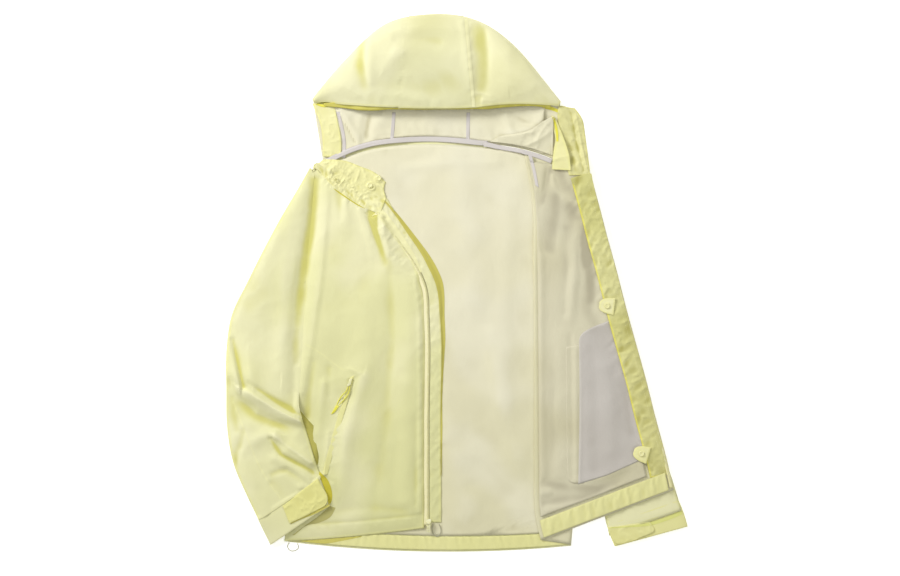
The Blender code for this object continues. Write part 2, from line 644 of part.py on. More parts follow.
def build_left_sleeve(stack, cloth):
    plan = drawn_in(on_seam(section_panel(LEFT_SLEEVE, 5, 13), 0, LEFT_SIDE, SEAM / 2), low=SEAM)
    upper, lower = laid(stack, plan, SHELL)
    wall("left_sleeve_under", upper, lower, cloth["shell"])
    upper, lower = laid(stack, plan, SHELL, puff=2.2)
    wall("left_sleeve_top", upper, lower, cloth["shell"])


def build_cuff(stack, cloth, side, sections, room):
    """A flattened tube with a rounded fold at each side, and its mouth a little open."""
    plan = drawn_in(section_panel(sections, 6, 5), low=SEAM)
    low = relaxed(stack.under(plan, REST), 3)
    height = 2 * BAND + room
    turn = height / 2
    surfaces = []
    for inset in (0.0, BAND):
        rings = []
        for line, level in zip(plan, low):
            along = (line[-1] - line[0]) / np.linalg.norm(line[-1] - line[0])
            under = line.copy()
            under[0] += along * turn
            under[-1] -= along * turn
            bottom = [(*point, z + inset) for point, z in zip(under, level)]
            top = [(*point, z + height - inset + CUFF_MOUTH) for point, z in zip(under, level)]
            right = (*(line[-1] - along * inset), level[-1] + turn)
            left = (*(line[0] + along * inset), level[0] + turn)
            rings.append(bottom + [right] + top[::-1] + [left])
        surfaces.append(rings)
    flat_tube(side + "_cuff", surfaces, cloth["shell"])
    stack.add(np.array([ring_points[7:13][::-1] for ring_points in surfaces[0]]))


def build_tab(stack, cloth, name, sections, columns=3, lines=6):
    upper, lower = laid(stack, section_panel(sections, columns, lines), BAND, rounds=3)
    wall(name, upper, lower, cloth["facing"])
    return upper


def build_back_inside(stack, cloth):
    hem = part_of(back_plan(13, 31), (0.004, 0.038), (0.012, 0.988), (2, 19))
    upper, lower = laid(stack, hem, LINING)
    wall("back_hem_facing", upper, lower, cloth["facing"])
    lining = part_of(back_plan(13, 31), (0.04, 0.99), (0.02, 0.98), (17, 8))
    upper, lower = laid(stack, lining, LINING, folds=BACK_LINING_FOLDS)
    wall("back_lining", upper, lower, cloth["lining"])
    tape = strip(NECK, -236, 50, -5, 4, 2, 20, across=True)
    upper, lower = laid(stack, tape, LINING)
    wall("neck_tape", upper, lower, cloth["tape"])


def fold_over(lower_faces, upper_faces, steps=4):
    """Outer and inner face of a panel that turns back over itself at its left edge."""
    under_top, under_bottom = lower_faces
    over_top, over_bottom = upper_faces
    bend_outer, bend_inner = [], []
    for i in range(1, steps):
        angle = math.pi * i / steps
        for bend, low, high in ((bend_outer, under_bottom, over_top), (bend_inner, under_top, over_bottom)):
            a, b = low[:, 0], high[:, 0]
            middle, half = (a + b) / 2, (b - a) / 2
            point = middle - half * math.cos(angle)
            point[:, 0] -= np.abs(half[:, 2]) * math.sin(angle)
            bend.append(point)
    outer = np.concatenate([under_bottom[:, ::-1], np.stack(bend_outer, axis=1), over_top], axis=1)
    inner = np.concatenate([under_top[:, ::-1], np.stack(bend_inner, axis=1), over_bottom], axis=1)
    return outer, inner


def build_left_front(stack, cloth):
    lines = 27
    fold_edge = tuple((y, x + FRONT_BEND) for y, x in LEFT_FOLD)
    under = drawn_in(edge_panel(fold_edge, LEFT_SIDE, UNTURNED_SPANS, 4, lines), right=SEAM)
    over = edge_panel(fold_edge, LEFT_ZIP, LEFT_FRONT_SPANS, 10, lines)
    under[:, 0] = over[:, 0]
    under_faces = laid(stack, under, SHELL, gap=LOOSE)
    over_faces = laid(stack, over, SHELL, gap=LOOSE, folds=LEFT_FRONT_FOLDS, puff=1.0, rounds=10)
    outer, inner = fold_over(under_faces, over_faces)
    wall("left_front", outer, inner, cloth["shell"])
    return over


def build_left_inside(stack, cloth, over):
    """Lining, pocket bag, facings and zip on the turned-over left front."""
    lining = part_of(over, (0.062, 0.985), (0.03, 0.83), (22, 8))
    for name, plan, finish in (("left_front_lining", lining, "lining"),
                               ("left_pocket_bag", section_panel(POCKET_BAG, 5, 12), "bag"),
                               ("left_pocket_welt", section_panel(POCKET_BAND, 3, 10), "lining")):
        upper, lower = laid(stack, plan, LINING, rounds=3)
        wall(name, upper, lower, cloth[finish])
    facing_folds = puckers(LEFT_ZIP, -330, 150, 27, -34, 18, 2.0)
    facing = strip(LEFT_ZIP, -334, 178, -36, -7, 4, 38)
    upper, lower = laid(stack, facing, LINING, folds=facing_folds, rounds=3)
    wall("left_front_facing", upper, lower, cloth["facing"])
    hem = part_of(over, (0.005, 0.054), (0.02, 0.965), (3, 12))
    hem_folds = []
    for i in range(7):
        x, y = 160 + 26 * i, -436 + 10.5 * i
        hem_folds.append(Fold(x, y, x + 8, y + 28, 5, 6, 1.4 + 0.5 * (i % 2)))
    upper, lower = laid(stack, hem, LINING, folds=hem_folds, rounds=2)
    wall("left_hem_facing", upper, lower, cloth["facing"])
    zip_strip = strip(LEFT_ZIP, -358, 184, -6.2, -0.6, 3, 34)
    upper, lower = laid(stack, zip_strip, LINING, rounds=2)
    upper[:, 1, 2] += ZIP_COIL_HEIGHT / 2
    stack.add(upper)
    wall("left_zip", upper, lower, cloth["facing"])


def build_left_collar(stack, cloth):
    upper, lower = laid(stack, section_panel(LEFT_COLLAR, 4, 9), BAND, rounds=3)
    wall("left_collar", upper, lower, cloth["facing"])
    inside = section_panel(COLLAR_LINING, 5, 11)
    upper, lower = laid(stack, inside, LINING, folds=COLLAR_LINING_FOLDS, puff=0.6, rounds=3)
    wall("left_collar_lining", upper, lower, cloth["lining"])
    upper, lower = laid(stack, section_panel(CHIN_TAB, 3, 8), LINING, rounds=3)
    wall("chin_tab", upper, lower, cloth["shell"])
    tape = strip(NECK, 54, 168, -9, -1, 2, 9, across=True)
    upper, lower = laid(stack, tape, LINING)
    wall("left_neck_tape", upper, lower, cloth["tape"])
    upper, lower = laid(stack, section_panel(RAGLAN_TAPE, 2, 5), LINING)
    wall("raglan_tape", upper, lower, cloth["tape"])


def build_snap_tabs(stack, cloth):
    for tab in SNAP_TABS:
        ahead = np.array((math.cos(tab.turn), math.sin(tab.turn)))
        side = np.array((-ahead[1], ahead[0]))
        rows = []
        for reach, half in SNAP_TAB_SHAPE:
            base = np.array((tab.x, tab.y)) + ahead * reach
            rows.append(Section(*(base - side * half), *(base + side * half)))
        upper = build_tab(stack, cloth, "snap_tab_" + tab.name, rows, columns=4, lines=6)
        height = upper[..., 2].max() + REST
        disc("tab_snap_" + tab.name, (tab.x, tab.y, height), SNAP_ACROSS, SNAP_HEIGHT, cloth["snap"])
        cap = square(tab.x, tab.y, SNAP_ACROSS / 2, SNAP_ACROSS / 2)
        stack.add(np.dstack([cap, np.full((2, 2), height + SNAP_HEIGHT)]))


def square(x, y, half, reach):
    """Corners of the plan of a small fitting."""
    return np.array([[(x - half, y - reach), (x + half, y - reach)],
                     [(x - half, y + reach), (x + half, y + reach)]], float)


def build_right_front(stack, cloth):
    zip_plan = strip(FRONT_ZIP, -424, 120, -4, 8.4, 5, 34)
    upper, lower = laid(stack, zip_plan, LINING, rounds=4)
    upper[:, 3, 2] += ZIP_COIL_HEIGHT
    wall("right_zip", upper, lower, cloth["coil"])
    zip_top = upper
    flap_plan = strip(FRONT_ZIP, -419, 120, 9.2, 30, 3, 36)
    flap_folds = puckers(FRONT_ZIP, -410, 100, 24, 11, 15, 1.8)
    upper, lower = laid(stack, flap_plan, BAND, folds=flap_folds, rounds=4)
    wall("wind_flap", upper, lower, cloth["shell"])
    stack.add(zip_top[:, :3])
    plan = drawn_in(edge_panel(RIGHT_SIDE, FRONT_ZIP, RIGHT_FRONT_SPANS, 14, 40), left=SEAM / 2, high=SEAM)
    upper, lower = laid(stack, plan, SHELL, gap=LOOSE, folds=RIGHT_FRONT_FOLDS, puff=1.2, rounds=6)
    wall("right_front", upper, lower, cloth["shell"])
    stack.add(zip_top)
    return upper


def build_right_collar(stack, cloth):
    plan = section_panel(RIGHT_COLLAR, 6, 14)
    upper, lower = laid(stack, plan, SHELL, folds=COLLAR_FOLDS, puff=1.0, rounds=3)
    wall("right_collar", upper, lower, cloth["shell"])
    for snap in COLLAR_SNAPS:
        height = stack.near(snap.x, snap.y, SNAP_ACROSS / 2) + REST
        disc(snap.name, (snap.x, snap.y, height), SNAP_ACROSS, SNAP_HEIGHT, cloth["snap"])
    height = stack.near(EYELET.x, EYELET.y, EYELET_ACROSS / 2) + REST
    ring(EYELET.name, (EYELET.x, EYELET.y, height), EYELET_ACROSS, EYELET_WIRE, cloth["snap"])


def build_right_pocket(stack, cloth):
    upper, lower = laid(stack, section_panel(POCKET_WELT, 3, 10), BAND, rounds=1)
    wall("right_pocket_welt", upper, lower, cloth["facing"])
    lay_cord(stack, "right_puller_strand_a", PULLER_STRAND_A, cloth["bright"])
    lay_cord(stack, "right_puller_strand_b", PULLER_STRAND_B, cloth["bright"])
    for name, plan, thick, finish in (
            ("right_pocket_slider", section_panel(POCKET_SLIDER, 2, 3), TRIM_THICK, "metal"),
            ("right_puller_tip", section_panel(PULLER_TIP, 2, 3), TRIM_THICK, "bright")):
        upper, lower = laid(stack, plan, thick, rounds=1)
        wall(name, upper, lower, cloth[finish])


def box(name, low, high, material, parent=None, round_by=0.4, hole=None):
    """A block with rounded edges between two corners, in the frame of its parent."""
    shape = bmesh.new()
    bmesh.ops.create_cube(shape, size=1)
    size, middle = Vector(high) - Vector(low), (Vector(high) + Vector(low)) / 2
    bmesh.ops.scale(shape, verts=shape.verts, vec=size * MM)
    bmesh.ops.bevel(shape, geom=shape.edges[:], offset=round_by * MM, segments=1, profile=0.5, affect="EDGES")
    bmesh.ops.translate(shape, verts=shape.verts, vec=middle * MM)
    return finish_mesh(name, shape, material, parent)


def build_main_slider(stack, cloth):
    """Slider at the foot of the zip, and its pull tab, which turns on the slider's bridge."""
    x, y = SLIDER_AT
    half, reach = SLIDER_WIDTH / 2, SLIDER_LENGTH / 2
    level = float(stack.under(square(x, y, half, reach), REST, rim=0).max())
    top = level + SLIDER_HEIGHT
    body = box("main_slider", (x - half, y - reach, level), (x + half, y + reach, top), cloth["metal"])
    eye = PIN_ACROSS / 2 + 0.25
    rim = eye + 0.8
    post = rim + 0.3
    pin = Vector((x, y, top + post))
    posts = bpy.data.meshes.new("bridge")
    shape = bmesh.new()
    for side in (-1, 1):
        bmesh.ops.create_cube(shape, size=1, matrix=Matrix.LocRotScale(
            Vector((x + side * (TAB_WIDTH / 2 + 0.9), y, top + post / 2 + 0.2)) * MM, None,
            Vector((1.2, PIN_ACROSS + 0.9, post + 1.6)) * MM))
    bmesh.ops.create_cone(shape, cap_ends=True, segments=10, radius1=PIN_ACROSS / 2 * MM,
                          radius2=PIN_ACROSS / 2 * MM, depth=(TAB_WIDTH + 2.4) * MM,
                          matrix=Matrix.Translation(pin * MM) @ Matrix.Rotation(math.pi / 2, 4, "Y"))
    shape.to_mesh(posts)
    shape.free()
    bridge = bpy.data.objects.new("slider_bridge_guide", posts)
    bridge.hide_render = True
    bridge.display_type = "WIRE"
    bpy.context.scene.collection.objects.link(bridge)
    joined = body.modifiers.new("bridge", "BOOLEAN")
    joined.operation = "UNION"
    joined.use_self = True
    joined.object = bridge

    hinge = bpy.data.objects.new("pull_tab_hinge", None)
    hinge.location = pin * MM
    bpy.context.scene.collection.objects.link(hinge)
    shape = bmesh.new()
    steps = 10
    outline = []
    for i in range(steps + 1):
        angle = math.pi / 2 - math.pi * i / steps
        outline.append((rim * math.cos(angle), rim * math.sin(angle)))
    bend, tip = -reach - 0.8, -rim - TAB_DROP
    outline += [(-3.0, -rim), (bend, -rim), (-TAB_LENGTH + 1.5, tip), (-TAB_LENGTH, tip + 0.7),
                (-TAB_LENGTH, tip + TAB_THICK), (bend, -rim + TAB_THICK), (-4.0, -rim + TAB_THICK + 0.2),
                (-1.6, rim)]
    verts = [shape.verts.new((-TAB_WIDTH / 2 * MM, a * MM, b * MM)) for a, b in outline]
    face = shape.faces.new(verts)
    pushed = bmesh.ops.extrude_face_region(shape, geom=[face])
    moved = [item for item in pushed["geom"] if isinstance(item, bmesh.types.BMVert)]
    bmesh.ops.translate(shape, verts=moved, vec=(TAB_WIDTH * MM, 0, 0))
    tab = finish_mesh("pull_tab", shape, cloth["facing"], hinge)
    for label, radius, depth, place, turn in (
            ("eye", eye, TAB_WIDTH + 2, (0, 0, 0), Matrix.Rotation(math.pi / 2, 4, "Y")),
            ("hole", TAB_HOLE / 2, 4 * rim, (0, -TAB_LENGTH + 3.4, -rim), Matrix.Identity(4))):
        shape = bmesh.new()
        bmesh.ops.create_cone(shape, cap_ends=True, segments=12, radius1=radius * MM, radius2=radius * MM,
                              depth=depth * MM, matrix=Matrix.Translation(Vector(place) * MM) @ turn)
        mesh = bpy.data.meshes.new(label)
        shape.to_mesh(mesh)
        shape.free()
        cutter = bpy.data.objects.new("tab_" + label + "_cutter", mesh)
        cutter.parent = hinge
        cutter.hide_render = True
        cutter.display_type = "WIRE"
        bpy.context.scene.collection.objects.link(cutter)
        cut = tab.modifiers.new(label, "BOOLEAN")
        cut.operation = "DIFFERENCE"
        cut.object = cutter


def lay_cord(stack, name, points, material, level=None):
    """A round cord laid along a line of points, on the stack or at a level of its own."""
    travel = np.concatenate([[0], np.cumsum(np.linalg.norm(np.diff(points, axis=0), axis=1))])
    at = np.linspace(0, travel[-1], max(6, int(travel[-1] / (CORD_ACROSS * 2))))
    x, y = (smooth(list(zip(travel, column)), at) for column in np.transpose(points))
    if level is None:
        floor = np.array([stack.near(*place, CORD_ACROSS) for place in zip(x, y)])
        z = relaxed(floor[None, :], 12)[0] + CORD_ACROSS / 2 + REST
    else:
        z = np.full(len(at), level)
    cord(name, np.stack([x, y, z], axis=1), CORD_ACROSS, material)


def build_right_sleeve(stack, cloth):
    plan = drawn_in(on_seam(section_panel(RIGHT_SLEEVE, 6, 22), -1, RIGHT_SIDE, -SEAM), low=SEAM, high=SEAM)
    plan[:, -1, 0] += smooth(SLEEVE_TUCK, plan[:, -1, 1])
    upper, lower = laid(stack, plan, SHELL, rounds=8)
    wall("right_sleeve_under", upper, lower, cloth["shell"])
    plan = drawn_in(on_seam(section_panel(RIGHT_SLEEVE, 10, 36), -1, RIGHT_SIDE, -SEAM), low=SEAM, high=SEAM)
    upper, lower = laid(stack, plan, SHELL, folds=RIGHT_SLEEVE_FOLDS, puff=2.6, rounds=6)
    wall("right_sleeve_top", upper, lower, cloth["shell"])


def build():
    for item in list(bpy.data.objects):
        bpy.data.objects.remove(item, do_unlink=True)
    cloth = {
        "shell": paint("shell cloth", (0.83, 0.82, 0.47), 0.6),
        "facing": paint("facing cloth", (0.86, 0.85, 0.42), 0.6),
        "lining": paint("lining", (0.72, 0.68, 0.52), 0.7),
        "bag": paint("pocket bag", (0.52, 0.49, 0.48), 0.75),
        "tape": paint("seam tape", (0.62, 0.58, 0.62), 0.5),
        "coil": paint("zip coil", (0.86, 0.84, 0.55), 0.45),
        "metal": paint("slider", (0.80, 0.79, 0.55), 0.35),
        "snap": paint("snap", (0.82, 0.80, 0.58), 0.35),
        "bright": paint("puller tip", (0.80, 0.78, 0.06), 0.4),
        "cord": paint("elastic cord", (0.78, 0.78, 0.66), 0.4),
    }
    stack = Stack()
    build_back(stack, cloth)
    inner = build_hood(stack, cloth)
    build_brim_facing(inner, cloth)
    build_left_sleeve(stack, cloth)
    build_hood_inside(stack, cloth)
    build_back_inside(stack, cloth)
    over = build_left_front(stack, cloth)
    build_left_inside(stack, cloth, over)
    build_left_collar(stack, cloth)
    build_snap_tabs(stack, cloth)
    build_cuff(stack, cloth, "left", LEFT_CUFF, 2.0)
    build_tab(stack, cloth, "left_cuff_tab", LEFT_CUFF_TAB)
    build_right_front(stack, cloth)
    build_right_collar(stack, cloth)
    build_right_pocket(stack, cloth)
    build_main_slider(stack, cloth)
    lay_cord(stack, "hem_loop_side", HEM_LOOP_SIDE, cloth["cord"], level=CORD_ACROSS / 2)
    lay_cord(stack, "hem_loop_front", HEM_LOOP_FRONT, cloth["cord"])
    build_right_sleeve(stack, cloth)
    build_cuff(stack, cloth, "right", RIGHT_CUFF, 2.4)
    build_tab(stack, cloth, "right_cuff_tab", RIGHT_CUFF_TAB)


build()
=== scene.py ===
import math

import bmesh
import bpy
import numpy as np
from mathutils import Matrix, Vector, noise as unevenness
from mathutils.bvhtree import BVHTree
from mathutils.kdtree import KDTree


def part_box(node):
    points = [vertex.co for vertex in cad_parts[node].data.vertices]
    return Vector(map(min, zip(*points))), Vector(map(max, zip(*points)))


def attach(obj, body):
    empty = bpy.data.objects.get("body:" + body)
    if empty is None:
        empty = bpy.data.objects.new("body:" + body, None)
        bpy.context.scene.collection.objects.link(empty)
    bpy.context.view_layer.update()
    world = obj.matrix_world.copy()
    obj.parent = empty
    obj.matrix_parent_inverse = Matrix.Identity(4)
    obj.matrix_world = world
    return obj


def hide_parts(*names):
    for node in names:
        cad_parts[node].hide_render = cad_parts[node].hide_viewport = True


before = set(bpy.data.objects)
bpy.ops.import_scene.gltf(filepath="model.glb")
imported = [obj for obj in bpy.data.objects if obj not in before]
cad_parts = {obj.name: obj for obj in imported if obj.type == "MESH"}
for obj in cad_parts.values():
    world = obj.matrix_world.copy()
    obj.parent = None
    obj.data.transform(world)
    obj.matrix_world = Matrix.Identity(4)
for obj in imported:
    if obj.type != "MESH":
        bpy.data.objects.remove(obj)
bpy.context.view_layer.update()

mm = 0.001
finished = {}      # pieces by name
rims = {}          # their edge vertices
surfaces = {}      # search trees of the pieces, for what is sewn on them

# camera, floor and light

view = {"distance": 5.0, "across": 1.575, "middle": (-0.012, -0.009), "sensor": 36.0}
floorLook = {"size": 9.0, "low": (242, 242, 242), "high": (246, 246, 246), "roughness": 0.85, "glow": 0.45}
# an area light: its place, what it points at, its width, its watts
lamps = {
    "key": ((-2.3, 1.9, 1.9), (0.0, 0.0, 0.0), 1.3, 98),
    "fill": ((2.6, -1.0, 2.6), (0.0, 0.0, 0.0), 2.2, 24),
    "top": ((0.0, 0.4, 3.4), (0.0, 0.0, 0.0), 2.6, 28),
}
skyLight = {"colour": (1.0, 0.99, 0.84), "strength": 0.3}


def linear(red, green, blue):
    # 8-bit colour to the shader's linear colour
    values = [value / 255 for value in (red, green, blue)]
    return tuple(((v + 0.055) / 1.055) ** 2.4 if v > 0.04045 else v / 12.92 for v in values) + (1.0,)


def makeView():
    camera = bpy.data.cameras.new("view")
    camera.sensor_width = view["sensor"]
    camera.lens = view["sensor"] * view["distance"] / view["across"]
    camera.clip_end = 40
    holder = bpy.data.objects.new("view", camera)
    holder.location = (*view["middle"], view["distance"])
    bpy.context.scene.collection.objects.link(holder)
    bpy.context.scene.camera = holder
    bpy.context.scene.view_settings.view_transform = "Standard"
    for name, (place, target, width, watts) in lamps.items():
        lamp = bpy.data.lights.new(name, "AREA")
        lamp.shape = "DISK"
        lamp.size = width
        lamp.energy = watts
        holder = bpy.data.objects.new(name, lamp)
        holder.location = place
        holder.rotation_euler = (Vector(target) - Vector(place)).to_track_quat("-Z", "Y").to_euler()
        bpy.context.scene.collection.objects.link(holder)
    world = bpy.data.worlds.new("sky")
    world.use_nodes = True
    sky = world.node_tree.nodes["Background"]
    sky.inputs["Color"].default_value = (*skyLight["colour"], 1)
    sky.inputs["Strength"].default_value = skyLight["strength"]
    bpy.context.scene.world = world
    print("view ready")


# node helpers

def calc(tree, operation, first, second=None):
    # a Math node; each value is a socket or a number
    node = tree.nodes.new("ShaderNodeMath")
    node.operation = operation
    for socket, value in zip(node.inputs, (first, second)):
        if isinstance(value, bpy.types.NodeSocket):
            tree.links.new(value, socket)
        elif value is not None:
            socket.default_value = value
    return node.outputs[0]


def blendInto(tree, share, first, second):
    # the colour sockets of a Mix node have the same names as its others, so they are taken by place
    node = tree.nodes.new("ShaderNodeMix")
    node.data_type = "RGBA"
    for place, value in ((0, share), (6, first), (7, second)):
        socket = node.inputs[place]
        if isinstance(value, bpy.types.NodeSocket):
            tree.links.new(value, socket)
        else:
            socket.default_value = value
    return node.outputs[2]


def spread(tree, value, low, high):
    # 0 at low to 1 at high, softly
    node = tree.nodes.new("ShaderNodeMapRange")
    node.interpolation_type = "SMOOTHSTEP"
    node.inputs["From Min"].default_value = low
    node.inputs["From Max"].default_value = high
    tree.links.new(value, node.inputs["Value"])
    return node.outputs["Result"]


def noise(tree, vector, scale, detail=2.0):
    node = tree.nodes.new("ShaderNodeTexNoise")
    node.inputs["Scale"].default_value = scale
    node.inputs["Detail"].default_value = detail
    tree.links.new(vector, node.inputs["Vector"])
    return node.outputs["Fac"]


def newGroup(name, inputs, outputs):
    group = bpy.data.node_groups.new(name, "ShaderNodeTree")
    for label, kind, value in inputs:
        socket = group.interface.new_socket(label, in_out="INPUT", socket_type=kind)
        if value is not None:
            socket.default_value = value
    for label, kind in outputs:
        group.interface.new_socket(label, in_out="OUTPUT", socket_type=kind)
    return group, group.nodes.new("NodeGroupInput").outputs, group.nodes.new("NodeGroupOutput").inputs


def placeGroup(tree, group, **values):
    node = tree.nodes.new("ShaderNodeGroup")
    node.node_tree = group
    for label, value in values.items():
        socket = node.inputs[label]
        if isinstance(value, bpy.types.NodeSocket):
            tree.links.new(value, socket)
        else:
            socket.default_value = value
    return node.outputs


vectorSocket, valueSocket, colourSocket = "NodeSocketVector", "NodeSocketFloat", "NodeSocketColor"


def weaveGroup():
    # plain weave: threads over and under, with a little unevenness
    group, given, result = newGroup(
        "weave", (("Vector", vectorSocket, None), ("Pitch", valueSocket, 0.0006), ("Slub", valueSocket, 0.3)),
        (("Height", valueSocket), ("Shade", valueSocket)))
    parts = group.nodes.new("ShaderNodeSeparateXYZ")
    group.links.new(given["Vector"], parts.inputs[0])
    rate = calc(group, "DIVIDE", 2 * math.pi, given["Pitch"])
    lift = calc(group, "MULTIPLY", parts.outputs["Z"], 0.7)
    warp = calc(group, "SINE", calc(group, "MULTIPLY", calc(group, "ADD", parts.outputs["X"], lift), rate))
    weft = calc(group, "SINE", calc(group, "MULTIPLY", calc(group, "ADD", parts.outputs["Y"], lift), rate))
    over = calc(group, "MULTIPLY", warp, weft)
    slub = calc(group, "MULTIPLY", calc(group, "SUBTRACT", noise(group, given["Vector"], 700), 0.5), given["Slub"])
    height = calc(group, "ADD", calc(group, "MULTIPLY", over, 0.5), slub)
    group.links.new(height, result["Height"])
    group.links.new(calc(group, "ADD", calc(group, "MULTIPLY", height, 0.06), 1.0), result["Shade"])
    return group


def toneGroup():
    # colour of thin cloth: paler on ridges as painted highlight, fuller in valleys as painted shade, fuller along
    # doubled edges, with a slow drift; another colour towards the bottom, and painted shade on the upper left where
    # the key lamp falls
    group, given, result = newGroup(
        "clothTone", (("Vector", vectorSocket, None), ("Base", colourSocket, None), ("Pale", colourSocket, None),
                      ("Deep", colourSocket, None), ("Doubled", colourSocket, None), ("Low", colourSocket, None),
                      ("High", colourSocket, None),
                      ("Relief", valueSocket, 0.0), ("Edge", valueSocket, 30.0), ("Edge Width", valueSocket, 7.0),
                      ("Drift", valueSocket, 0.4), ("Shade", valueSocket, 1.0)), (("Color", colourSocket),))
    parts = group.nodes.new("ShaderNodeSeparateXYZ")
    group.links.new(given["Vector"], parts.inputs[0])
    low = calc(group, "SUBTRACT", 1.0, spread(group, parts.outputs["Y"], -0.42, 0.12))
    colour = blendInto(group, low, given["Base"], given["Low"])
    # painted shade on the upper left, where the key lamp falls hardest
    height = calc(group, "SUBTRACT", parts.outputs["Y"], calc(group, "MULTIPLY", parts.outputs["X"], 0.5))
    colour = blendInto(group, spread(group, height, 0.38, 0.5), colour, given["High"])
    drift = calc(group, "MULTIPLY", spread(group, noise(group, given["Vector"], 6.5, 1.5), 0.42, 0.62), given["Drift"])
    colour = blendInto(group, drift, colour, given["Pale"])
    # painted highlight on ridges
    ridgeHighlight = calc(group, "MULTIPLY", spread(group, given["Relief"], 1.2, 5.0), 0.45)
    colour = blendInto(group, ridgeHighlight, colour, given["Pale"])
    # painted shade in valleys: the saturated olive that shade gives thin yellow cloth
    valleyShadeShare = calc(group, "MULTIPLY", spread(group, calc(group, "MULTIPLY", given["Relief"], -1.0), 0.2, 4.0), 0.86)
    colour = blendInto(group, valleyShadeShare, colour, given["Deep"])
    rim = calc(group, "SUBTRACT", given["Edge Width"], given["Edge"])
    colour = blendInto(group, calc(group, "MULTIPLY", spread(group, rim, -1.5, 1.5), 0.4), colour, given["Doubled"])
    shade = group.nodes.new("ShaderNodeVectorMath")
    shade.operation = "SCALE"
    group.links.new(colour, shade.inputs[0])
    group.links.new(given["Shade"], shade.inputs["Scale"])
    group.links.new(shade.outputs[0], result["Color"])
    return group


def rumpleGroup():
    # fine wrinkles of a light shell cloth
    group, given, result = newGroup(
        "rumple", (("Vector", vectorSocket, None), ("Scale", valueSocket, 40.0)), (("Height", valueSocket),))
    stretched = group.nodes.new("ShaderNodeMapping")
    stretched.inputs["Rotation"].default_value = (0, 0, 0.5)
    stretched.inputs["Scale"].default_value = (1.0, 0.45, 1.0)
    group.links.new(given["Vector"], stretched.inputs["Vector"])
    grain = group.nodes.new("ShaderNodeTexNoise")
    grain.inputs["Detail"].default_value = 3.0
    grain.inputs["Distortion"].default_value = 0.6
    group.links.new(stretched.outputs[0], grain.inputs["Vector"])
    group.links.new(given["Scale"], grain.inputs["Scale"])
    group.links.new(grain.outputs["Fac"], result["Height"])
    return group


groups = {"weave": weaveGroup(), "tone": toneGroup(), "rumple": rumpleGroup()}
